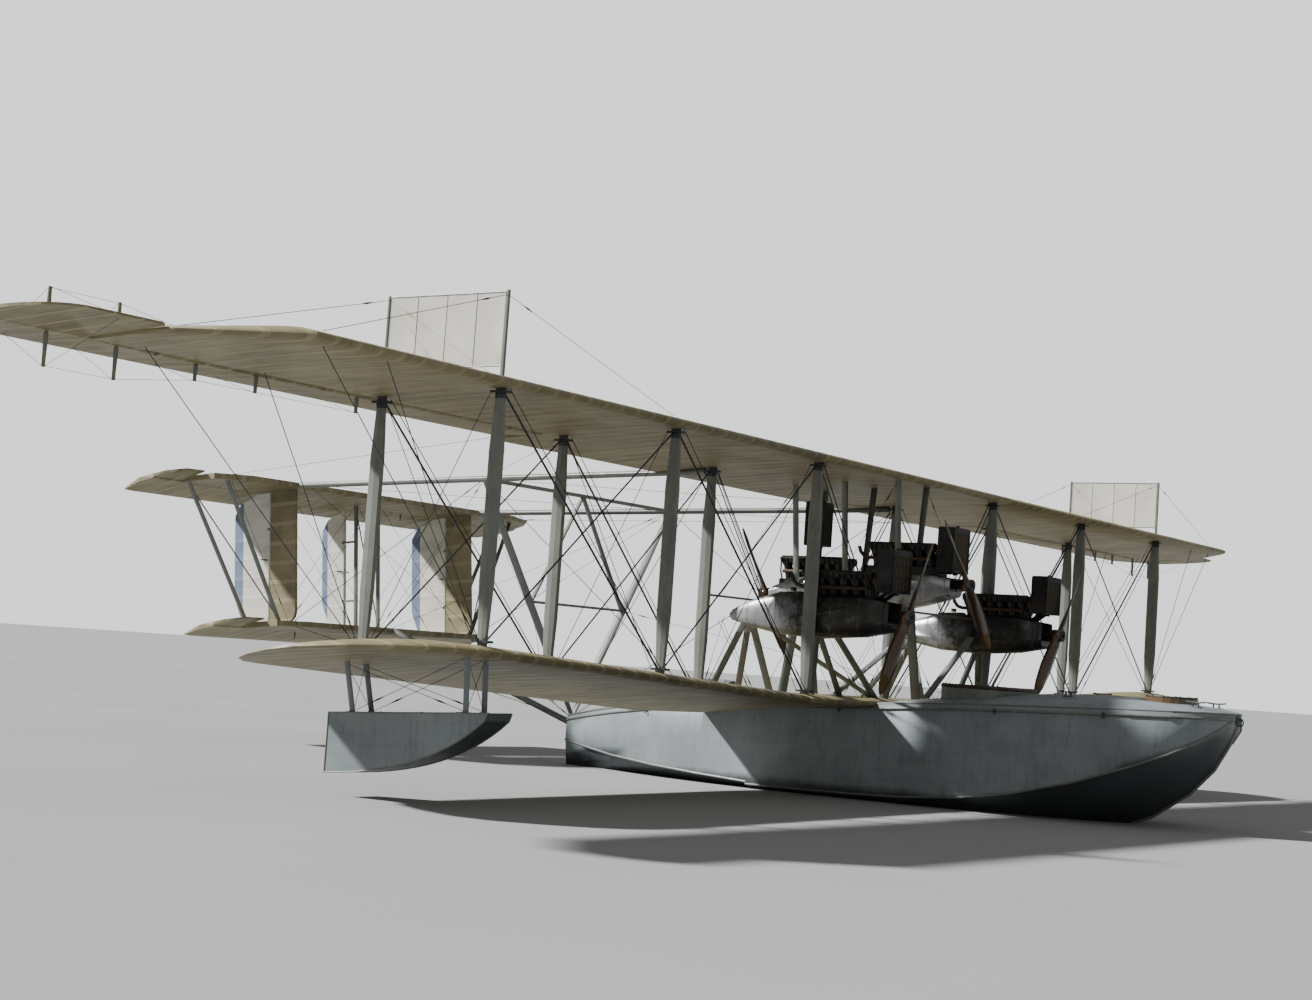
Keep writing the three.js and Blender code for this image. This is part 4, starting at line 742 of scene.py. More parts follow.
def makeSkin(node, sharp):
    bm = bmesh.new()
    bm.from_mesh(nodes[node].data)
    bmesh.ops.remove_doubles(bm, verts=bm.verts, dist=mergeDistance)
    skin = toPiece("skin_" + node, bm, nodes[node].data.materials[0], bodyOf(node), smooth=True)
    skin.data.set_sharp_from_angle(angle=math.radians(sharp))
    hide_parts(node)


for slot, look in skins.items():
    for node in look["nodes"]:
        makeSkin(node, look["sharp"])
print("rounded nodes have their skins")


# Ribs: a sewn tape over each one, cut from the wing's own shape

# a tape over each rib, from the first to the last y that each surface has
ribTapes = {
    "spacing": 0.406, "width": 0.045, "proud": 0.0015,
    "spans": {
        "upper_wing_port": (3.75, 17.3), "upper_wing_starboard": (-17.3, -3.75),
        "upper_wing_centre": (-3.65, 3.65),
        "lower_wing_port": (3.75, 14.2), "lower_wing_starboard": (-14.2, -3.75),
        "lower_wing_centre": (-3.65, 3.65),
        "aileron_port": (8.4, 19.0), "aileron_starboard": (-19.0, -8.4),
    },
}


def makeRibTapes():
    spacing, width = ribTapes["spacing"], ribTapes["width"]
    for node, (low, high) in ribTapes["spans"].items():
        bm = bmesh.new()
        ribs = range(math.ceil(low / spacing), math.floor(high / spacing) + 1)
        slicesOf(bm, node, [((0, k * spacing, 0), (0, 1, 0), width) for k in ribs], ribTapes["proud"])
        toPiece("tapes_" + node, bm, dopedLinen, bodyOf(node))


makeRibTapes()
print("rib tapes are sewn on")


# Rigging: taut wires with turnbuckles, all of one group in one mesh

rigging = {
    "thick": 0.007, "thin": 0.0045, "fairing": 0.017, "backFairing": 0.0136, "corners": 6,
    "buckle": 0.26, "buckleRadius": 0.014, "buckleFrom": 0.35, "shortest": 1.2, "bury": 0.02,
}


def onSide(side, x, y, z):
    return (x, side * y, z)


def addWire(bm, start, end, radius, buckle=True):
    start, end = Vector(start), Vector(end)
    addRod(bm, start, end, radius, rigging["corners"])
    length = (end - start).length
    if buckle and length > rigging["shortest"]:
        along = (end - start) / length
        middle = start + along * (rigging["buckleFrom"] + rigging["buckle"] / 2)
        for sign in (-1, 1):
            tip = middle + along * sign * rigging["buckle"] / 2
            addRod(bm, middle, tip, rigging["buckleRadius"], rigging["corners"], radius)


# where the wings' wires end: how far out, and how far above the lower or the upper wing's own surface
wingWires = {
    "clear": 0.09, "footRise": 0.064, "headDrop": 0.044, "fairingInset": 0.02,
    "pairX": 0.1, "pairClear": (0.08, 0.07), "pairRise": (-0.04, 0.05),
    "overhangFrom": 12.3, "overhang": {"front": (14.6, 15.8), "rear": (14.6, 16.7)},
    "finHeight": 1.05, "overFins": {"front": (8.0, 15.8), "rear": (8.0, 16.9)}, "topRise": 0.2,
    "twins": (-0.04, 0.04), "twinThick": 0.011,
    "innerY": 3.4, "roofY": 0.56, "rootY": 1.5, "hullY": 1.45, "touch": 0.01,
    # y and z of the ends on the engines' own frames
    "sideLow": (2.75, 3.1), "sideTop": (2.95, 3.44), "sideRoot": (2.9, 3.0), "twinFoot": (1.45, 3.42),
    "nacelle": (-0.25, 3.4),
}


def makeWingWires():
    bm = bmesh.new()
    look, thick, thin = wingWires, rigging["thick"], rigging["thin"]
    stations = list(airframe["stations"].values())
    fin = stations[-1]
    clear, inset, bury = look["clear"], look["fairingInset"], rigging["bury"]
    for side in sides.values():
        for spar, x in airframe["spars"].items():
            roof = upperUnder(x)
            for y, outer in zip(stations, stations[1:]):
                foot, head = lowerTop(x, y) + look["footRise"], roof - look["headDrop"]
                outerFoot = lowerTop(x, outer) + look["footRise"]
                # fairings over the main stays, and the second of each pair of flying wires beside them
                addRod(bm, (x, side * (y + clear), foot + inset), (x, side * (outer - clear), head - inset),
                       rigging["fairing"])
                addRod(bm, (x, side * (y + clear), head - inset),
                       (x, side * (outer - clear), outerFoot + inset),
                       rigging["backFairing"])
                fromIn, fromOut = look["pairClear"]
                atFoot, atHead = look["pairRise"]
                addWire(bm, (x + look["pairX"], side * (y + fromIn), foot + atFoot),
                        (x + look["pairX"], side * (outer - fromOut), head + atHead), thick)
            # from the outer strut out to the overhang of the upper wing, and over the skid fin
            base = look["overhangFrom"]
            for reach in look["overhang"][spar]:
                addWire(bm, (x, side * base, lowerTop(x, base) + bury), (x, side * reach, roof + bury), thick)
            top = airframe["upperBase"] + airframe["wingDepth"] + look["finHeight"]
            for reach in look["overFins"][spar]:
                addWire(bm, (x, side * fin, top), (x, side * reach, roof + look["topRise"]), thin)
            # between the inner strut and the middle nacelle's frame
            inner, top = look["innerY"], roof + look["touch"]
            addWire(bm, (x, side * inner, lowerTop(x, inner) + bury), onSide(side, x, *look["sideLow"]), thin)
            addWire(bm, (x, side * look["roofY"], top), onSide(side, x, *look["sideTop"]), thin)
            for shift in look["twins"]:
                at = x + shift
                addWire(bm, onSide(side, at, *look["twinFoot"]), (at, side * inner, top), look["twinThick"])
                root = (at, side * look["rootY"], lowerTop(x, 0))
                addWire(bm, root, onSide(side, at, *look["sideRoot"]), thin)
            # from the hull's sides up to the middle nacelle
            foot = (x, side * look["hullY"], lowerTop(x, 0))
            addWire(bm, foot, onSide(side, x, *look["nacelle"]), thin)
    toPiece("wing_wires", bm, steelCable)


boom = {"start": Vector((-1.295, 3.48, 5.59)), "end": Vector((-11.585, 2.95, 5.291))}


def boomPoint(x, side):
    part = (x - boom["start"].x) / (boom["end"].x - boom["start"].x)
    point = boom["start"].lerp(boom["end"], part)
    return Vector((point.x, side * point.y, point.z))


# the level tail's lower and upper surface, and the crossed wires between them: x, foot's y, head's y
tailWires = {
    "low": 2.44, "high": 5.17, "frameX": -6.5, "tailX": -11.3,
    "crossed": ((-11.75, 0.04, 2.8), (-11.75, 2.78, 0.04), (-11.62, 2.9, 4.55), (-12.38, 0.05, 2.6),
                (-12.38, 2.55, 0.05)),
    # ends on the stern, on the level tail and on the wings
    "sternLow": (-6.42, 0.05, 0.93), "sternTop": (-6.42, 0.05, 0.98), "sternBack": (-6.4, 0.05, 0.98),
    "sternSide": (-6.43, 1.56, 3.19), "corner": (-11.45, 2.9, 2.34), "tip": (-11.7, 4.7, 5.27),
    "planeX": -11.4, "planeOuter": 2.95, "planeMiddle": 0.05,
    "footY": 3.55, "headX": -1.25, "headY": 3.5, "headDrop": 0.1, "outerY": 7.85, "acrossX": -1.3,
    "acrossY": -3.4, "overX": -2.0, "overRise": 0.12,
}


def makeTailWires():
    bm = bmesh.new()
    look, thick, thin = tailWires, rigging["thick"], rigging["thin"]
    low, high = look["low"], look["high"]
    outer, spar = airframe["stations"]["middle"], airframe["spars"]["rear"]
    headX, outerY, acrossX = look["headX"], look["outerY"], look["acrossX"]
    for side in sides.values():
        frameHead, boomEnd = boomPoint(look["frameX"], side), boomPoint(look["tailX"], side)
        # crossed wires between the tailplanes, ahead of the rudders
        for x, foot, head in look["crossed"]:
            addWire(bm, tailPoint(x, side * foot, low), tailPoint(x, side * head, high), thin)
        # from the stern and the booms to the tail
        addWire(bm, onSide(side, *look["sternLow"]), tailPoint(*onSide(side, *look["corner"])), thick)
        addWire(bm, frameHead, tailPoint(look["planeX"], side * look["planeOuter"], low), thick)
        addWire(bm, frameHead, tailPoint(look["planeX"], side * look["planeMiddle"], low), thin)
        addWire(bm, onSide(side, *look["sternTop"]), boomEnd, thin)
        addWire(bm, frameHead, boomPoint(look["tailX"], -side), thin)
        # from the wings' rear spars to the booms and the stern frame
        addWire(bm, (spar, side * look["footY"], lowerTop(spar, look["footY"])), frameHead, thick)
        head = (headX, side * look["headY"], upperUnder(headX) - look["headDrop"])
        addWire(bm, onSide(side, *look["sternBack"]), head, thick)
        addWire(bm, frameHead, (headX, side * outerY, upperUnder(headX)), thin)
        addWire(bm, onSide(side, *look["sternSide"]), (headX, side * outerY, lowerTop(spar, outerY)), thin)
        addWire(bm, frameHead, (acrossX, side * look["acrossY"], upperUnder(acrossX)), thin)
        # overhead wires from the upper wing to the ends of the upper tailplane
        over = (look["overX"], side * outer, upperUnder(look["overX"]) + look["overRise"])
        addWire(bm, tailPoint(*onSide(side, *look["tip"])), over, thin)
    toPiece("tail_wires", bm, steelCable)


# the float's own place and shape, and for each pair of its struts x at the foot and at the head
floatShape = {
    "y": 12.2, "half": 0.27, "stern": -1.48, "bow": 1.36, "deck": 1.25, "deckSlope": 0.064,
    "belly": ((-1.48, 0.32), (0.4, 0.43), (1.32, 1.23)),
    "spread": 0.2, "struts": {"rear": (-1.08, -1.29), "front": (0.94, 0.89)}, "crossedFeet": (1.2, 1.33),
}


def floatDeck(x):
    return floatShape["deck"] + floatShape["deckSlope"] * x


def makeFloatWires():
    bm = bmesh.new()
    y, spread = floatShape["y"], floatShape["spread"]
    (rearFoot, rearHead), (frontFoot, frontHead) = floatShape["struts"].values()
    rearZ, frontZ = floatShape["crossedFeet"]
    thin, bury = rigging["thin"], rigging["bury"]
    for side in sides.values():
        for across in (-spread, spread):
            for footX, headX in floatShape["struts"].values():
                addWire(bm, (footX, side * (y + across), floatDeck(footX)),
                        (headX, side * (y - across), lowerUnder(headX, y) + bury), thin, False)
        for place in (y - spread, y + spread):
            for footX, footZ, headX in ((rearFoot, rearZ, frontHead), (frontFoot, frontZ, rearHead)):
                head = (headX, side * place, lowerUnder(headX, place) + bury)
                addWire(bm, (footX, side * place, footZ), head, thin)
    toPiece("float_wires", bm, steelCable)


makeWingWires()
makeTailWires()
makeFloatWires()
print("rigging is taut")

# Propellers: a bolted steel plate on the boss, and thin brass sheathing round the blades' ends

propellerTrim = {
    "front": 0.095, "plate": 0.112, "thick": 0.012, "nut": 0.042, "nutHigh": 0.05,
    "boltRing": 0.08, "bolts": 8, "head": (0.010, 0.026), "thread": (0.006, 0.034),
    "blade": 1.54, "sheath": 0.36, "proud": 0.0015,
}


def makePropellerTrim():
    trim = propellerTrim
    for name, look in propellers.items():
        hub, ahead = Vector(look["hub"]), Vector((look["face"], 0, 0))
        front = hub + ahead * trim["front"]
        bm = bmesh.new()
        addRod(bm, front, front + ahead * trim["thick"], trim["plate"], 32)
        addRod(bm, front, front + ahead * trim["nutHigh"], trim["nut"], 6)
        for k in range(trim["bolts"]):
            turn = 2 * math.pi * k / trim["bolts"]
            spot = front + Vector((0, math.cos(turn), math.sin(turn))) * trim["boltRing"]
            for radius, high in (trim["head"], trim["thread"]):
                addRod(bm, spot, spot + ahead * high, radius, 6)
        toPiece("hub_plate_" + name, bm, forgedSteel, "propeller_" + name)
        bm = bmesh.new()
        cuts = []
        for sign in (-1, 1):
            blade = sign * Vector((0, -math.sin(look["tilt"]), math.cos(look["tilt"])))
            cuts.append((hub + blade * (trim["blade"] - trim["sheath"] / 2), blade, trim["sheath"]))
        slicesOf(bm, "propeller_" + name, cuts, trim["proud"])
        toPiece("blade_sheaths_" + name, bm, sheetBrass, "propeller_" + name)


makePropellerTrim()
print("propellers are plated and sheathed")


# Engines: twelve jacketed cylinders in two rows, the valve gear over them, pipes, leads and radiator

# which way the engine faces, how far its nose is behind the boss, and its radiator: how far back its middle
# is, how high its foot, and its length, width and height
outboardEngine = {"facing": 1, "nose": 0.42, "back": 0.29, "rise": 0.39, "length": 0.3, "width": 0.64,
                  "height": 0.71}
engines = {
    "port": outboardEngine,
    "starboard": outboardEngine,
    "front": {"facing": 1, "nose": 0.42, "back": 0.32, "rise": 0.21, "length": 0.3, "width": 0.64,
              "height": 0.81},
    "rear": {"facing": -1, "nose": 0.3, "back": 1.07, "rise": 0.94, "length": 0.3, "width": 0.48,
             "height": 0.82},
}
# first, pitch and count place the cylinders along the crankcase, offset, root and bank place them up the lean
engineShape = {
    "face": 0.0954, "first": 0.17, "pitch": 0.222, "count": 6, "lean": 0.39, "offset": 0.06, "root": 0.26,
    "bank": 0.44,
    "sleeve": (0.02, 0.4, 0.081), "flange": 0.093, "flanges": ((0.05, 0.066), (0.2, 0.208), (0.345, 0.36)),
    "housing": (1.36, 0.136, 0.116), "rounding": 0.022, "studs": 0.012, "shaft": 0.011, "oiler": 0.014,
    "sump": 0.203, "sumpRibs": (-0.05, 0.05, 0.15), "sumpRib": 0.009, "sumpFrom": 0.1, "sumpTo": 1.52,
    "studRows": (-0.22, 0.22), "studOuts": (-0.085, 0.085), "studFoot": 0.36, "studHead": 0.47,
    "shaftOut": 0.095, "oilerFoot": 0.48, "oilerHead": 0.512,
}
# exhaust log and stubs, inlet and water pipes, and the ignition harness; a place is how far up the cylinder's
# axis and how far out from it, and the log's bend is how far back and up from where the log ends
pipeShape = {
    "logAt": (0.24, 0.112), "logBend": ((0.1, 0.03), (0.17, 0.11), (0.2, 0.2)),
    "stubEnds": ((0.26, 0.06), (0.24, 0.1)), "inletFoot": 0.12, "inletRise": (0.01, 0.1),
    "inletEnds": ((0.3, -0.14), (0.34, -0.07)), "plug": (0.39, -0.085),
    "waterPath": ((-0.7, 0.02, 0.03), (-0.75, 0.2, 0.03), (-0.6, 0.4, 0.0)),
    "leadPath": ((0.15, 0.43, -0.11), (0.3, 0.42, -0.08)),
    "harnessRows": (-0.8, 0, 1, 2, 3, 4, 5, 5.5),
    "log": 0.034, "logLength": 1.29, "logBefore": 0.06, "stub": 0.028, "inlet": 0.03,
    "inlets": (0.5, 2.5, 4.5),
    "water": 0.016, "harness": 0.013, "lead": 0.009,
}
radiatorShape = {
    "frame": 0.045, "proud": 0.012, "rounding": 0.004, "tank": 0.1, "tubes": 26, "tube": 0.006,
    "sheet": 0.004,
    "stays": (0.36, 0.64), "stay": 0.009, "cap": 0.04, "capY": 0.12, "clip": 0.045,
}


def onEngine(engine, back, across, rise):
    return Vector(engine["hub"]) + Vector((-engine["facing"] * back, across, rise))


def onBank(engine, row, side, reach, out=0.0):
    # a point beside cylinder number row of one bank, reach up its axis and out from it
    shape = engineShape
    s, c = math.sin(shape["lean"]), math.cos(shape["lean"])
    back = shape["face"] + engine["nose"] + shape["first"] + row * shape["pitch"]
    return onEngine(engine, back, side * (shape["offset"] + reach * s + out * c),
                    shape["root"] + reach * c - out * s)


def makeCylinders(name, engine):
    bm = bmesh.new()
    low, high, sleeve = engineShape["sleeve"]
    for side in (-1, 1):
        for row in range(engineShape["count"]):
            addRod(bm, onBank(engine, row, side, low), onBank(engine, row, side, high), sleeve, 18)
            for foot, top in engineShape["flanges"]:
                addRod(bm, onBank(engine, row, side, foot), onBank(engine, row, side, top),
                       engineShape["flange"], 18)
    toPiece("cylinder_jackets_" + name, bm, bluedSteel)


def makeValveGear(name, engine):
    bm = bmesh.new()
    shape = engineShape
    for side in (-1, 1):
        turn = Matrix.Rotation(-side * shape["lean"], 4, "X")
        addBlock(bm, shape["housing"], onBank(engine, 2.5, side, shape["bank"]), turn, shape["rounding"])
        for row in range(shape["count"]):
            for shift in shape["studRows"]:
                place = row + shift
                for out in shape["studOuts"]:
                    foot = onBank(engine, place, side, shape["studFoot"], out)
                    addRod(bm, foot, onBank(engine, place, side, shape["studHead"], out), shape["studs"], 6)
                inner = onBank(engine, place, side, shape["studHead"], -shape["shaftOut"])
                outer = onBank(engine, place, side, shape["studHead"], shape["shaftOut"])
                addRod(bm, inner, outer, shape["shaft"], 6)
            foot = onBank(engine, row + 0.5, side, shape["oilerFoot"])
            addRod(bm, foot, onBank(engine, row + 0.5, side, shape["oilerHead"]), shape["oiler"], 6)
    # sump ribs along the crankcase and its bearers
    start, end = engine["nose"] + shape["sumpFrom"], engine["nose"] + shape["sumpTo"]
    for rise in shape["sumpRibs"]:
        for across in (-shape["sump"], shape["sump"]):
            addRod(bm, onEngine(engine, start, across, rise), onEngine(engine, end, across, rise),
                   shape["sumpRib"], 6)
    toPiece("valve_gear_" + name, bm, blackenedIron)


def makeManifolds(name, engine):
    bm = bmesh.new()
    shape = pipeShape
    for side in (-1, 1):
        level = onBank(engine, 0, side, *shape["logAt"])
        rise = level.z - engine["hub"][2]
        across = level.y - engine["hub"][1]
        start = engineShape["face"] + engine["nose"] + engineShape["first"] - shape["logBefore"]
        end = start + shape["logLength"]
        parts = (0, 0.25, 0.5, 0.75, 1)
        log = [onEngine(engine, start + part * (end - start), across, rise) for part in parts]
        tail = [onEngine(engine, end + back, across, rise + lift) for back, lift in shape["logBend"]]
        addPipe(bm, log + tail, shape["log"], 12)
        for row in range(engineShape["count"]):
            root, tip = (onBank(engine, row, side, *place) for place in shape["stubEnds"])
            addRod(bm, root, tip, shape["stub"], 8)
    toPiece("exhaust_manifolds_" + name, bm, scaledSteel)
    bm = bmesh.new()
    for side in (-1, 1):
        for row in shape["inlets"]:
            low = onBank(engine, row, side, shape["inletFoot"])
            low.y = engine["hub"][1]
            bend = low + Vector(onSide(side, 0, *shape["inletRise"]))
            ends = [onBank(engine, row, side, *place) for place in shape["inletEnds"]]
            addPipe(bm, [low, bend] + ends, shape["inlet"], 10)
        path = [onBank(engine, row, side, *place) for row, *place in shape["waterPath"]]
        addPipe(bm, path, shape["water"], 8)
    toPiece("copper_pipes_" + name, bm, drawnCopper)
    bm = bmesh.new()
    for side in (-1, 1):
        along = [onBank(engine, row, side, *shape["plug"]) for row in shape["harnessRows"]]
        addPipe(bm, along, shape["harness"], 8)
        for row in range(engineShape["count"]):
            plug = onBank(engine, row, side, *shape["plug"])
            path = [onBank(engine, row + shift, side, *place) for shift, *place in shape["leadPath"]]
            addPipe(bm, [plug] + path, shape["lead"], 6)
    toPiece("ignition_leads_" + name, bm, hoseRubber)


def makeRadiator(name, engine):
    shape = radiatorShape
    frame, proud, rounding, tank = shape["frame"], shape["proud"], shape["rounding"], shape["tank"]
    half, height, length, back = engine["width"] / 2, engine["height"], engine["length"], engine["back"]
    low, high = engine["rise"], engine["rise"] + height
    middle = (low + high) / 2
    core = bmesh.new()
    shell = bmesh.new()
    for outward in (-1, 1):
        face = back + outward * length / 2
        at = face + outward * shape["sheet"] / 2
        addBlock(core, (shape["sheet"], 2 * half - frame, height - frame), onEngine(engine, at, 0, middle))
        for k in range(shape["tubes"]):
            across = (k + 0.5) / shape["tubes"] * (2 * half - 2 * frame) - half + frame
            addRod(core, onEngine(engine, at, across, low + frame), onEngine(engine, at, across, high - tank),
                   shape["tube"], 6)
        # the shell's edges stand proud all round the honeycomb
        edge = face + outward * proud / 2
        for side in (-1, 1):
            post = onEngine(engine, edge, side * (half - frame / 2), middle)
            addBlock(shell, (proud * 2, frame, height), post, None, rounding)
        for rise, deep in ((high - tank / 2, tank), (low + frame / 2, frame)):
            size = (proud * 2, 2 * half - 2 * frame, deep)
            addBlock(shell, size, onEngine(engine, edge, 0, rise), None, rounding)
        for part in shape["stays"]:
            left = onEngine(engine, at, -half, low + part * height)
            addRod(shell, left, onEngine(engine, at, half, low + part * height), shape["stay"], 6)
    roof = onEngine(engine, back, 0, high - 0.03)
    addBlock(shell, (length + 0.01, 2 * half + 0.012, 0.09), roof, None, 0.02)
    for side in (-1, 1):
        flank = onEngine(engine, back, side * (half + 0.003), middle - 0.02)
        addBlock(shell, (length - 0.04, 0.008, height - 0.2), flank, None, 0.003)
    neck = onEngine(engine, back, shape["capY"], high)
    addRod(shell, neck, neck + up * 0.045, shape["cap"], 16)
    addRod(shell, neck + up * 0.04, neck + up * 0.06, 0.75 * shape["cap"], 12)
    # clips where the water pipes enter
    for across in (-shape["capY"], shape["capY"]):
        addRod(shell, onEngine(engine, back, across, low - 0.03), onEngine(engine, back, across, low + 0.004),
               shape["clip"], 14)
    toPiece("radiator_core_" + name, core, honeycomb)
    toPiece("radiator_shell_" + name, shell, blackenedIron)


for name, look in engines.items():
    engine = {**look, "hub": propellers[name]["hub"]}
    makeCylinders(name, engine)
    makeValveGear(name, engine)
    makeManifolds(name, engine)
    makeRadiator(name, engine)
print("engines have their cylinders, valve gear, pipes and radiators")


# Nacelles: raised bands at the frames and a filler on top

outboardTrim = {"bands": (-0.62, -0.35, 0.25, 0.7, 1.35, 1.9, 2.36), "finish": frontDarkAluminium,
                "filler": (0.45, 3.56)}
nacelleTrim = {
    "port": {"y": 3.12, **outboardTrim},
    "starboard": {"y": -3.12, **outboardTrim},
    "centre": {"y": 0.0, "bands": (-1.65, -1.35, -0.5, 0.05, 0.6, 1.4, 1.9), "finish": sheetAluminium,
               "filler": (0.1, 4.09)},
}
bandShape = {"width": 0.022, "proud": 0.004}
fillerShape = ((0.0, 0.05, 0.05), (0.045, 0.065, 0.06))  # foot, top and radius of the neck and of its cap


def makeNacelleTrim():
    for name, trim in nacelleTrim.items():
        bm = bmesh.new()
        cuts = [((x, 0, 0), (1, 0, 0), bandShape["width"]) for x in trim["bands"]]
        slicesOf(bm, "nacelle_" + name, cuts, bandShape["proud"])
        toPiece("nacelle_bands_" + name, bm, trim["finish"])
        bm = bmesh.new()
        x, z = trim["filler"]
        for foot, top, radius in fillerShape:
            addRod(bm, (x, trim["y"], z + foot), (x, trim["y"], z + top), radius, 20)
        toPiece("nacelle_filler_" + name, bm, sheetBrass)


makeNacelleTrim()
print("nacelles are banded")


# Struts: steel sockets and clamp plates at both ends

strutTrim = {
    "foot": 0.02, "socket": 0.16, "socketIn": 0.05, "proud": 0.005,
    "wraps": (0.25, 0.5, 0.75), "wrap": 0.05, "wrapProud": 0.002, "bolt": (0.055, 0.009), "boltIn": 0.08,
    "boltX": 0.05,
}


def makeStrutTrim():
    sockets, bands = bmesh.new(), bmesh.new()
    trim = strutTrim
    boltReach, boltRadius = trim["bolt"]
    for spar, x in airframe["spars"].items():
        for station, y in airframe["stations"].items():
            low, high = lowerTop(x, y) + trim["foot"], upperUnder(x)
            for side, sign in sides.items():
                node = f"strut_{spar}_{station}_{side}"
                for bm, z in ((sockets, high - trim["socketIn"]), (bands, low + trim["socketIn"])):
                    slicesOf(bm, node, [((x, 0, z), up, trim["socket"])], trim["proud"])
                wraps = [((x, 0, low + part * (high - low)), up, trim["wrap"]) for part in trim["wraps"]]
                slicesOf(bands, node, wraps, trim["wrapProud"])
                for z in (low + trim["boltIn"], high - trim["boltIn"]):
                    for boltX in (x - trim["boltX"], x + trim["boltX"]):
                        inner, outer = (boltX, sign * y - boltReach, z), (boltX, sign * y + boltReach, z)
                        addRod(sockets, inner, outer, boltRadius, 6)
    toPiece("strut_sockets", sockets, forgedSteel)
    toPiece("strut_wrappings", bands, strutPaint)


makeStrutTrim()
print("struts are socketed and wrapped")


# Skid fins: thin clear-doped cloth between two kingposts and two rails

skidFins = {
    "y": 12.24, "low": 6.067, "top": 7.097, "ribs": 3, "rib": 0.005, "rail": 0.011, "footRise": 0.14,
    "postTop": 0.03,
    "posts": {"front": (0.06, 0.045), "rear": (0.045, 0.035)}, "rounding": 0.012, "thick": 0.003,
    "belly": 0.012,
    "pale": "#c9c4ae", "deep": "#aca68c", "clear": 0.42, "cloud": 500, "weave": 9,
}


def thinCloth(name, look):
    # Fine cotton, doped clear and left unpainted: light shines through it, brown at the seams.
    material, tree, shader, place = startMaterial(name, 0.55, ior=1.47)
    shader.inputs["Alpha"].default_value = look["clear"]
    clouds = addNode(tree, "TexNoise", {"Scale": perMetre(look["cloud"]), "Detail": 6.0}, {"Vector": place})
    colour = addNode(tree, "ValToRGB", {"stops": [(0.3, look["deep"]), (0.7, look["pale"])]},
                     {"Fac": clouds.outputs["Fac"]})
    tree.links.new(colour.outputs[0], shader.inputs["Base Color"])
    weave = addNode(tree, "TexVoronoi", {"Scale": perMetre(look["weave"])}, {"Vector": place})
    bump = addNode(tree, "Bump", {"Strength": 0.3, "Distance": 0.001}, {"Height": weave.outputs["Distance"]})
    tree.links.new(bump.outputs[0], shader.inputs["Normal"])
    return material


def makeSkidFins():
    clearCloth = thinCloth("clearDopedCotton", skidFins)
    low, high, bays = skidFins["low"], skidFins["top"], skidFins["ribs"] + 1
    front, rear = airframe["spars"]["front"], airframe["spars"]["rear"]
    for side, sign in sides.items():
        y = sign * skidFins["y"]
        bm = bmesh.new()
        centre = Matrix.Translation(((front + rear) / 2, y, (low + high) / 2))
        spread = Matrix.Diagonal(((front - rear) / 2, (high - low) / 2, 1, 1))
        place = centre @ Matrix.Rotation(math.pi / 2, 4, "X") @ spread
        made = bmesh.ops.create_grid(bm, x_segments=30, y_segments=12, size=1, matrix=place)["verts"]
        for vert in made:
            # the cloth bellies a little between its ribs
            along = (vert.co.x - rear) / (front - rear) * bays
            rise = (vert.co.z - low) / (high - low)
            vert.co.y += skidFins["belly"] * abs(math.sin(math.pi * along)) * math.sin(math.pi * rise)
        bmesh.ops.solidify(bm, geom=bm.faces[:], thickness=skidFins["thick"])
        cloth = toPiece("skid_cloth_" + side, bm, clearCloth)
        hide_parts("skid_fin_" + side)
        bm = bmesh.new()
        for spar, (chord, thick) in skidFins["posts"].items():
            x = airframe["spars"][spar]
            foot, top = upperUnder(x) + skidFins["footRise"], high + skidFins["postTop"]
            addBlock(bm, (chord, thick, top - foot), (x, y, (top + foot) / 2), None, skidFins["rounding"])
        for z in (low, high):
            addRod(bm, (rear, y, z), (front, y, z), skidFins["rail"], 8)
        for k in range(1, bays):
            x = rear + (front - rear) * k / bays
            addRod(bm, (x, y, low), (x, y, high), skidFins["rib"], 6)
        posts = toPiece("skid_posts_" + side, bm, strutPaint)
        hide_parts("skid_fin_" + side)


makeSkidFins()
print("skid fins stand over the outer struts")


# Hull: rails along the gunwale and the chine, a stem band, cleats, and the hatch's straps

# the hull's sections from the bow aft: x, keel z, chine y and z, gunwale y and z, crown z
hullLines = [
    (7.30, 1.76, 0.16, 1.88, 0.17, 1.965, 1.985), (7.19, 1.45, 0.52, 1.70, 0.54, 1.965, 2.01),
    (6.95, 1.02, 0.85, 1.48, 0.86, 1.96, 2.05), (6.55, 0.59, 1.14, 1.24, 1.10, 1.95, 2.09),
    (5.90, 0.14, 1.37, 0.96, 1.29, 1.93, 2.13), (5.00, -0.21, 1.49, 0.64, 1.40, 1.895, 2.15),
    (4.00, -0.41, 1.525, 0.39, 1.46, 1.86, 2.10), (3.00, -0.52, 1.525, 0.22, 1.49, 1.82, 2.01),
    (1.90, -0.555, 1.525, 0.13, 1.495, 1.76, 1.88), (1.00, -0.56, 1.525, 0.10, 1.49, 1.69, 1.705),
    (0.00, -0.56, 1.525, 0.085, 1.47, 1.64, 1.66), (-1.25, -0.56, 1.525, 0.08, 1.44, 1.57, 1.60),
    (-1.26, -0.43, 1.50, 0.12, 1.44, 1.569, 1.60), (-2.40, -0.36, 1.37, 0.17, 1.33, 1.50, 1.64),
    (-3.60, -0.27, 1.12, 0.23, 1.08, 1.39, 1.56), (-4.80, -0.17, 0.79, 0.32, 0.74, 1.24, 1.36),
    (-5.70, -0.09, 0.46, 0.42, 0.40, 1.11, 1.17), (-6.44, -0.02, 0.09, 0.50, 0.07, 0.99, 1.00),
]
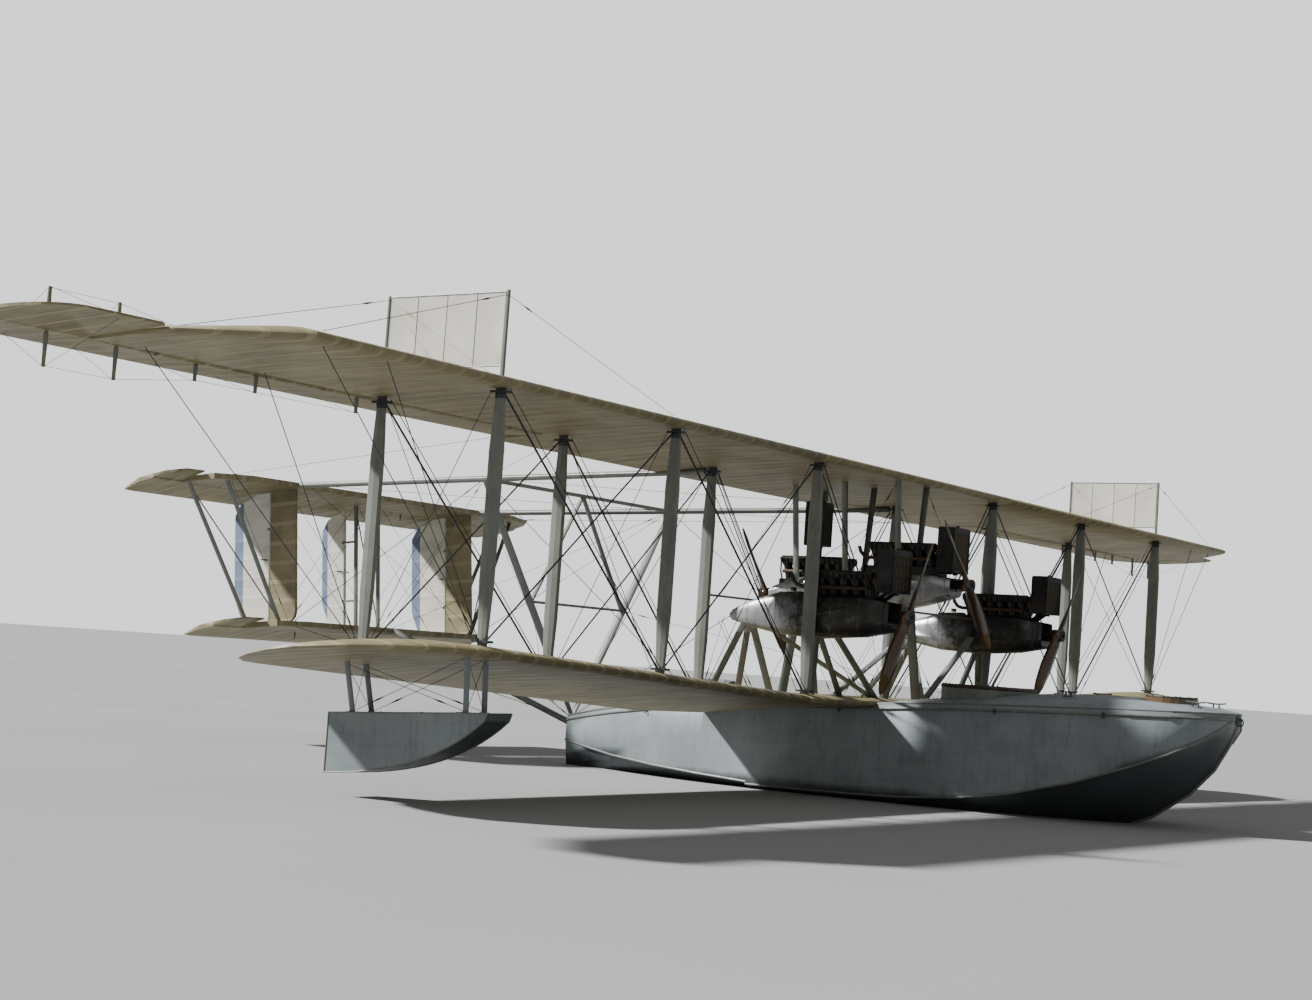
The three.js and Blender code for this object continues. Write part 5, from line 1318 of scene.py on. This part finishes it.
hullTrim = {
    "rail": 0.024, "railOut": 0.006, "railDown": 0.09, "bead": 0.016, "beadIn": 0.95, "chine": 0.020,
    "stem": 0.030,
    "afterStep": 12, "stemEnds": 7,
    "cleats": ((4.6, 0.75), (-2.6, 0.7), (6.75, 0.5)), "cleat": 0.34, "cleatBase": (0.2, 0.07, 0.014),
    "horn": 0.014,
    "eyePlate": (0.05, 0.16, 0.16), "eye": (0.055, 0.012), "ringXs": (5.5, 3.6, 0.6, -1.8, -3.9),
    "ring": (0.035, 0.007),
    "straps": (-2.7, -3.05, -3.4), "strap": 0.035, "strapProud": 0.004, "handle": 0.01, "handleY": 0.2,
}


def hullAt(x):
    for ahead, behind in zip(hullLines, hullLines[1:]):
        if behind[0] <= x <= ahead[0]:
            part = (x - behind[0]) / (ahead[0] - behind[0])
            return [b + part * (a - b) for a, b in zip(ahead, behind)]
    return list(hullLines[-1])


# the deck falls from its crown to a shoulder and on to the gunwale, in shares of its half width and height
deckShape = {"shoulderY": 0.55, "shoulderZ": 0.75, "edgeRun": 0.4}


def deckTop(x, y):
    _, _, _, _, edgeY, edgeZ, crown = hullAt(x)
    share, bend = abs(y) / edgeY, deckShape["shoulderY"]
    shoulder = edgeZ + (crown - edgeZ) * deckShape["shoulderZ"]
    if share < bend:
        return crown + (shoulder - crown) * share / bend
    return shoulder + (edgeZ - shoulder) * (share - bend) / deckShape["edgeRun"]


def makeHullTrim():
    trim = hullTrim
    bm = bmesh.new()
    for side in sides.values():
        rail = [(x, side * (edgeY + trim["railOut"]), edgeZ - trim["railDown"])
                for x, _, _, _, edgeY, edgeZ, _ in hullLines]
        bead = [(x, side * edgeY * trim["beadIn"], edgeZ) for x, _, _, _, edgeY, edgeZ, _ in hullLines]
        chine = [(x, side * chineY, chineZ) for x, _, chineY, chineZ, _, _, _ in hullLines]
        addPipe(bm, rail, trim["rail"], 8)
        addPipe(bm, bead, trim["bead"], 8)
        addPipe(bm, chine[:trim["afterStep"]], trim["chine"], 8)
        addPipe(bm, chine[trim["afterStep"]:], trim["chine"], 8)
    addPipe(bm, [(x, 0, keelZ) for x, keelZ, *_ in hullLines[:trim["stemEnds"]]], trim["stem"], 8)
    toPiece("hull_rails", bm, strutPaint)
    bm = bmesh.new()
    half = trim["cleat"] / 2
    for x, y in trim["cleats"]:
        for side in sides.values():
            base = Vector((x, side * y, deckTop(x, y)))
            addBlock(bm, trim["cleatBase"], base + up * 0.004, None, 0.004)
            for shift in (-0.05, 0.05):
                post = base + Vector((shift, 0, 0))
                addRod(bm, post, post + up * 0.07, 0.016, 10, 0.012)
            horns = [(part * half, 0, 0.075 + 0.015 * part * part) for part in (-1, -0.6, 0, 0.6, 1)]
            addPipe(bm, [base + Vector(horn) for horn in horns], trim["horn"], 8)
    # towing ring and its plate on the stem
    addBlock(bm, trim["eyePlate"], (7.3, 0, 1.87), None, 0.012)
    addRing(bm, (7.345, 0, 1.83), (0, 1, 0), *trim["eye"], 20)
    # rings for the handling lines along the gunwale
    for x in trim["ringXs"]:
        _, _, _, _, edgeY, edgeZ, _ = hullAt(x)
        for side in sides.values():
            spot = Vector((x, side * (edgeY + 0.02), edgeZ - trim["railDown"]))
            addRod(bm, spot, spot + Vector((0, side * 0.02, 0)), 0.03, 12)
            addRing(bm, spot + Vector((0, side * 0.03, -0.03)), (1, 0, 0), *trim["ring"], 16, 6)
    toPiece("hull_fittings", bm, forgedSteel)
    bm = bmesh.new()
    cuts = [((x, 0, 0), (1, 0, 0), trim["strap"]) for x in trim["straps"]]
    slicesOf(bm, "aft_hatch", cuts, trim["strapProud"])
    for side in sides.values():
        y = side * trim["handleY"]
        addPipe(bm, [(-3.2, y, 1.86), (-3.2, y, 1.92), (-2.9, y, 1.92), (-2.9, y, 1.86)], trim["handle"], 8)
    toPiece("hatch_straps", bm, forgedSteel)


makeHullTrim()
print("hull has its rails and fittings")


# Cockpits: padded rolls and rings on the openings, controls, instruments and cushions

cockpit = {
    "x": (2.25, 3.35), "halfWidth": 0.9, "corner": 0.25, "rollOut": 0.03, "rollZ": 2.115, "roll": 0.042,
    "lace": 0.003, "ringCentre": (6.15, 0, 2.177), "ringRadius": 0.41, "ringThick": 0.018, "lugs": 12,
    "lug": (0.05, 0.04, 0.05), "lugRounding": 0.008,
}


def cockpitOutline():
    # seven points round each corner, along the middle of the padded roll
    grow = cockpit["rollOut"]
    rear, front = cockpit["x"][0] - grow, cockpit["x"][1] + grow
    half, r = cockpit["halfWidth"] + grow, cockpit["corner"] + grow
    corners = ((front - r, half - r), (rear + r, half - r), (rear + r, r - half), (front - r, r - half))
    points = []
    for quarter, (x, y) in enumerate(corners):
        for k in range(7):
            turn = math.radians(90 * quarter + 15 * k)
            points.append((x + r * math.cos(turn), y + r * math.sin(turn), cockpit["rollZ"]))
    return points


def addLoopPipe(bm, points, radius, corners):
    # a closed padded roll: rings at each point, bridged all the way round
    points = [Vector(p) for p in points]
    loops = []
    for i, point in enumerate(points):
        ahead = points[(i + 1) % len(points)] - points[i - 1]
        side = ahead.cross(up).normalized()
        turn = Matrix((side, up, ahead.normalized())).transposed().to_4x4()
        place = Matrix.Translation(point) @ turn
        ring = bmesh.ops.create_circle(bm, segments=corners, radius=radius, matrix=place)["verts"]
        loops.append(edgesOf(ring))
    made = []
    for i, loop in enumerate(loops):
        made += bmesh.ops.bridge_loops(bm, edges=loops[i - 1] + loop)["faces"]
    bmesh.ops.recalc_face_normals(bm, faces=made)


def makeCockpitRims():
    outline = cockpitOutline()
    bm = bmesh.new()
    addLoopPipe(bm, outline, cockpit["roll"], 12)
    toPiece("cockpit_roll", bm, cockpitHide, smooth=True)
    bm = bmesh.new()
    for k, point in enumerate(outline):
        # a lace at each point of the outline, turned to one of the two ways the roll runs
        axis = (1, 0, 0) if k % 7 in (0, 6) and k // 7 % 2 == 0 else (0, 1, 0)
        addRing(bm, point, axis, cockpit["roll"] + 0.002, cockpit["lace"], 16, 6)
    toPiece("cockpit_lacing", bm, hoseRubber)
    bm = bmesh.new()
    centre = Vector(cockpit["ringCentre"])
    addRing(bm, centre, up, cockpit["ringRadius"], cockpit["ringThick"], 48, 10)
    for k in range(cockpit["lugs"]):
        turn = 2 * math.pi * k / cockpit["lugs"]
        spot = centre + Vector((math.cos(turn), math.sin(turn), 0)) * cockpit["ringRadius"]
        addBlock(bm, cockpit["lug"], spot, Matrix.Rotation(turn, 4, "Z"), cockpit["lugRounding"])
    toPiece("bow_ring_rail", bm, forgedSteel)


# the board with its dials, a wheel and a foot bar at each place, and the engines' levers between them
controls = {
    "places": (-0.45, 0.45), "floor": 1.0, "board": (0.024, 1.62, 0.24), "boardAt": (3.27, 0, 1.72),
    "dial": 0.055, "dials": (-0.62, -0.42, -0.22, 0.0, 0.22, 0.42, 0.62), "outerDials": 0.3,
    "outerRise": 0.02,
    "wheelAt": (2.98, 1.6), "wheel": 0.17, "rim": 0.014, "spoke": 0.011, "rake": 0.35,
    "columnX": 3.08, "column": 0.018, "barX": 3.12, "barZ": 1.13, "bar": 0.24, "stirrup": (0.2, 0.05),
    "leverBox": (0.1, 0.2, 0.22), "leverBoxAt": (3.16, 0, 1.5), "levers": (-0.07, -0.023, 0.024, 0.071),
}


def makeControls():
    wood, steel, brass, cards = bmesh.new(), bmesh.new(), bmesh.new(), bmesh.new()
    look = controls
    addBlock(wood, look["board"], look["boardAt"], None, 0.006)
    axis = Vector((-1, 0, look["rake"])).normalized()
    hubX, hubZ = look["wheelAt"]
    barX, barZ = look["barX"], look["barZ"]
    stirrupY, stirrupRadius = look["stirrup"]
    for y in look["places"]:
        hub = Vector((hubX, y, hubZ))
        addRing(wood, hub, axis, look["wheel"], look["rim"], 32, 10)
        for k in range(4):
            turn = turnTo(axis) @ Matrix.Rotation(math.radians(90 * k), 4, "Z")
            addRod(wood, hub, hub + turn.to_3x3() @ Vector((look["wheel"], 0, 0)), look["spoke"], 8)
        addRod(steel, hub - axis * 0.03, hub + axis * 0.03, 0.03, 16)
        addRod(steel, hub - axis * 0.02, (look["columnX"], y, look["floor"] + 0.01), look["column"], 12)
        addRod(steel, (barX, y - look["bar"], barZ), (barX, y + look["bar"], barZ), 0.014, 10)
        addRod(steel, (barX, y, look["floor"]), (barX, y, barZ + 0.01), 0.02, 10)
        for shift in (-stirrupY, stirrupY):
            addRing(steel, (barX - 0.02, y + shift, barZ + 0.04), (0, 1, 0), stirrupRadius, 0.007, 16, 6)
    addBlock(steel, look["leverBox"], look["leverBoxAt"], None, 0.012)
    for y in look["levers"]:
        addRod(steel, (3.14, y, 1.58), (3.02, y, 1.72), 0.007, 8)
        addRod(brass, (3.02, y, 1.72), (3.008, y, 1.734), 0.016, 12)
    boardX, _, boardZ = look["boardAt"]
    for y in look["dials"]:
        rise = look["outerRise"] if abs(y) > look["outerDials"] else 0.0
        face = Vector((boardX - look["board"][0] / 2, y, boardZ + rise))
        addRod(cards, face, face - Vector((0.006, 0, 0)), look["dial"], 28)
        addRing(brass, face - Vector((0.008, 0, 0)), (1, 0, 0), look["dial"], 0.006, 28, 8)
        tick = face - Vector((0.0065, 0, 0))
        for k in range(10):
            turn = math.radians(36 * k)
            spoke = Vector((0, math.cos(turn), math.sin(turn))) * look["dial"]
            addRod(steel, tick + spoke * 0.7, tick + spoke * 0.86, 0.0016, 5)
        addRod(steel, face - Vector((0.007, 0, 0)), face + Vector((-0.007, 0.02, 0.032)), 0.002, 6)
    toPiece("cockpit_woodwork", wood, cockpitWood)
    toPiece("cockpit_controls", steel, forgedSteel)
    toPiece("cockpit_brasswork", brass, sheetBrass)
    toPiece("cockpit_dials", cards, dialCard)


makeCockpitRims()
makeControls()
print("cockpits are fitted out")


# Seats: boxed benches of varnished spruce, their cushions blown up as cloth and sewn into channels

seats = {
    "x": 2.7, "places": {"starboard": -0.45, "port": 0.45}, "boardZ": 1.2279, "board": (0.42, 1.5, 0.015),
    "box": (0.38, 0.42, 0.219), "boxZ": 1.1101, "battens": (-0.07, 0.07), "batten": (0.392, 0.432, 0.02),
    "back": (0.016, 0.47, 0.556), "backX": 2.4735, "backZ": 1.5204,
}
cushions = {
    "seat": {"size": (0.40, 0.56, 0.044), "centre": (2.702, 1.2585), "channels": 4},
    "back": {"size": (0.042, 0.45, 0.48), "centre": (2.5035, 1.53), "channels": 4},
    "rounding": 0.012, "voxel": 0.008, "pressure": 4.0, "frames": 20, "start": 0.006, "swell": 0.006,
    "channelDepth": 0.005, "channelWidth": 0.009, "fill": 0.7,
}


def makeSeats():
    bm = bmesh.new()
    x = seats["x"]
    addBlock(bm, seats["board"], (x, 0, seats["boardZ"]), None, 0.004)
    for y in seats["places"].values():
        addBlock(bm, seats["box"], (x, y, seats["boxZ"]), None, 0.006)
        addBlock(bm, seats["back"], (seats["backX"], y, seats["backZ"]), None, 0.005)
        for rise in seats["battens"]:
            addBlock(bm, seats["batten"], (x, y, seats["boxZ"] + rise), None, 0.003)
    frames = toPiece("seat_frames", bm, cockpitWood)
    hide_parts("pilot_seats")


def evaluated(piece):
    return bpy.data.meshes.new_from_object(piece.evaluated_get(bpy.context.evaluated_depsgraph_get()))


def makeCushion(name, look, y):
    sx, sy, sz = look["size"]
    centre = Vector((look["centre"][0], y, look["centre"][1]))
    slack = cushions["start"]
    bm = bmesh.new()
    addBlock(bm, (sx - slack, sy - slack, sz - slack), centre, None, cushions["rounding"])
    mesh = bpy.data.meshes.new(name)
    bm.to_mesh(mesh)
    bm.free()
    piece = bpy.data.objects.new(name, mesh)
    bpy.context.scene.collection.objects.link(piece)
    skin = piece.modifiers.new("skin", "REMESH")
    skin.mode = "VOXEL"
    skin.voxel_size = cushions["voxel"]
    shape = evaluated(piece)
    piece.modifiers.remove(skin)
    piece.data = shape
    still = [vert.co.copy() for vert in shape.vertices]
    cloth = piece.modifiers.new("cloth", "CLOTH")
    cloth.settings.use_pressure = True
    cloth.settings.uniform_pressure_force = cushions["pressure"]
    cloth.settings.effector_weights.gravity = 0
    for moment in range(1, cushions["frames"] + 1):
        bpy.context.scene.frame_set(moment)
    blown = evaluated(piece)
    piece.modifiers.remove(cloth)
    for vert, start, moved in zip(shape.vertices, still, [v.co.copy() for v in blown.vertices]):
        step = moved - start
        vert.co = start + step * min(1, cushions["swell"] / max(step.length, 1e-6))
    bpy.data.meshes.remove(blown)
    bpy.context.scene.frame_set(1)
    finer = piece.modifiers.new("finer", "SUBSURF")
    finer.levels = finer.render_levels = 1
    piece.data = evaluated(piece)
    piece.modifiers.remove(finer)
    lies = sz < sx
    count = look["channels"]
    for vert in piece.data.vertices:
        # seams run fore and aft on the seat and upright on the back
        offset = vert.co - centre
        seam = min(abs(offset.y - sy * (k / count - 0.5)) for k in range(1, count))
        if (offset.z if lies else offset.x) > 0:
            depth = cushions["channelDepth"] * math.exp(-(seam / cushions["channelWidth"]) ** 2)
            vert.co -= Vector((0, 0, depth)) if lies else Vector((depth, 0, 0))
    piece.data.shade_smooth()
    piece.data.materials.clear()
    piece.data.materials.append(cockpitHide)
    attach(piece, "airframe")
    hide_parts("pilot_seats")


makeSeats()
for seat, y in seats["places"].items():
    makeCushion("seat_cushion_" + seat, cushions["seat"], y)
    makeCushion("back_cushion_" + seat, cushions["back"], y)
print("seats are framed and cushioned")


# Floats: strips along the edges, hand-hole plates, and bolted plates at the struts' feet on the deck

floatTrim = {
    "strip": 0.011, "steps": 14, "plates": (-0.75, 0.0, 0.62), "plate": (0.09, 0.008), "knob": (0.02, 0.02),
    "screws": 8, "screwRing": 0.077, "screw": (0.007, 0.013), "foot": (0.2, 0.12, 0.012),
    "bolts": (-0.075, 0.075),
    "bolt": (0.01, 0.022),
}


def floatBottom(part):
    # the belly's curve from the stern's foot to the bow
    shares = ((1 - part) ** 2, 2 * part * (1 - part), part ** 2)
    return [sum(share * value for share, value in zip(shares, axis)) for axis in zip(*floatShape["belly"])]


def makeFloatTrim():
    strips, steel = bmesh.new(), bmesh.new()
    stern, bow, trim = floatShape["stern"], floatShape["bow"], floatTrim
    belly = [floatBottom(k / trim["steps"]) for k in range(trim["steps"] + 1)]
    for sign in sides.values():
        middle = sign * floatShape["y"]
        for y in (middle - floatShape["half"], middle + floatShape["half"]):
            sternTop, bowTop = (stern, y, floatDeck(stern)), (bow, y, floatDeck(bow))
            addPipe(strips, [sternTop, bowTop], trim["strip"], 8)
            addPipe(strips, [(x, y, z) for x, z in belly] + [bowTop], trim["strip"], 8)
            addPipe(strips, [sternTop, (stern, y, belly[0][1])], trim["strip"], 8)
        for x in trim["plates"]:
            top = Vector((x, middle, floatDeck(x)))
            for (radius, high), corners in ((trim["plate"], 28), (trim["knob"], 12)):
                addRod(steel, top, top + up * high, radius, corners)
            radius, high = trim["screw"]
            for k in range(trim["screws"]):
                turn = 2 * math.pi * k / trim["screws"]
                spot = top + Vector((math.cos(turn), math.sin(turn), 0)) * trim["screwRing"]
                addRod(steel, spot, spot + up * high, radius, 6)
        radius, high = trim["bolt"]
        for footX, _ in floatShape["struts"].values():
            for spread in (-floatShape["spread"], floatShape["spread"]):
                foot = Vector((footX, middle + spread, floatDeck(footX)))
                addBlock(steel, trim["foot"], foot + up * 0.004, None, 0.003)
                for shift in trim["bolts"]:
                    spot = foot + Vector((shift, 0, 0))
                    addRod(steel, spot, spot + up * high, radius, 6)
    toPiece("float_strips", strips, strutPaint)
    toPiece("float_plates", steel, forgedSteel)


makeFloatTrim()
print("floats are edged")


# Ailerons and tail: cased masts with their wires, tapes over the tail's ribs, and control horns

# the aileron's hinge line, the edges that the wires run to, and each mast's y and reach
masts = {
    "hinge": (-1.4, 5.6984), "trail": (-2.2, 5.6534), "lead": (-0.12, 5.7684), "balance": 17.5,
    "foot": 0.085, "cased": 0.033, "tip": 0.022, "over": 0.012, "wire": 0.003,
    "places": ((18.05, 0.48), (16.95, 0.48), (15.6, 0.29), (14.5, 0.29), (12.5, 0.29)),
}
# how far out the tailplanes' tapes go, the fins' lowest and highest tape, and where each horn has its foot
tailTrim = {
    "spacing": 0.35, "width": 0.04, "proud": 0.0015, "reach": {"upper": 5.6, "lower": 3.9},
    "fin": (2.55, 5.1),
    "horn": 0.2, "hornFoot": 0.02, "hornTip": 0.009,
    "elevatorHorns": {
        "elevator_upper": {"x": -12.851, "z": 5.167, "places": (1.7, 3.6)},
        "elevator_lower": {"x": -12.566, "z": 2.331, "places": (1.7,)},
    },
    "rudderHorns": {
        "port": (-12.389, 2.85, 3.727), "centre": (-12.902, 0.0, 3.675), "starboard": (-12.389, -2.85, 3.727),
    },
}


def makeMasts():
    x, z = masts["hinge"]
    trailX, trailZ = masts["trail"]
    leadX, leadZ = masts["lead"]
    thin = masts["wire"]
    for side, sign in sides.items():
        bm, wires = bmesh.new(), bmesh.new()
        for place, reach in masts["places"]:
            y = sign * place
            for way in (-1, 1):
                tip = Vector((x, y, z + way * (reach + masts["over"])))
                addRod(bm, (x, y, z + way * masts["foot"]), tip, masts["cased"], 10, masts["tip"])
                addRod(wires, tip, (trailX, y, trailZ + way * 0.012), thin, 5)
                if place > masts["balance"]:
                    addRod(wires, tip, (leadX, y, leadZ + way * 0.01), thin, 5)
        for (first, firstReach), (second, secondReach) in zip(masts["places"], masts["places"][1:]):
            for way in (-1, 1):
                start = (x, sign * first, z + way * firstReach)
                addRod(wires, start, (x, sign * second, z + way * secondReach), thin, 5)
        toPiece("masts_" + side, bm, strutPaint, "aileron_" + side)
        toPiece("mast_wires_" + side, wires, steelCable, "aileron_" + side)


def makeTapes(node, cuts, finish):
    bm = bmesh.new()
    slicesOf(bm, node, cuts, tailTrim["proud"])
    toPiece("tapes_" + node, bm, finish, bodyOf(node))


def makeHorns(node, feet, direction):
    bm = bmesh.new()
    for foot in feet:
        for way in (-1, 1):
            tip = Vector(foot) + Vector(direction) * way * tailTrim["horn"]
            addRod(bm, foot, tip, tailTrim["hornFoot"], 8, tailTrim["hornTip"])
    toPiece("horns_" + node, bm, forgedSteel, node)


def makeTailTrim():
    spacing, width = tailTrim["spacing"], tailTrim["width"]
    for level, reach in tailTrim["reach"].items():
        count = math.floor(reach / spacing)
        cuts = [((0, k * spacing, 0), (0, 1, 0), width) for k in range(-count, count + 1)]
        for node in ("tailplane_" + level, "elevator_" + level):
            makeTapes(node, cuts, dopedLinen)
    low, high = tailTrim["fin"]
    tailUp = Vector((-math.sin(tailUnit["pitch"]), 0, math.cos(tailUnit["pitch"])))
    count = math.floor((high - low) / spacing)
    cuts = [(tailPoint(-12, 0, low + k * spacing), tailUp, width) for k in range(count + 1)]
    for side in sides:
        makeTapes("fin_" + side, cuts, finLinen)
    for name in tailTrim["rudderHorns"]:
        linen = rudderLinen["Centre" if name == "centre" else "Outer"]
        makeTapes("rudder_" + name, cuts, linen)
    for node, look in tailTrim["elevatorHorns"].items():
        feet = [(look["x"], side * place, look["z"]) for side in (-1, 1) for place in look["places"]]
        makeHorns(node, feet, (0, 0, 1))
    for name, foot in tailTrim["rudderHorns"].items():
        makeHorns("rudder_" + name, [foot], (0, 1, 0))


makeMasts()
makeTailTrim()
print("control surfaces are trimmed")
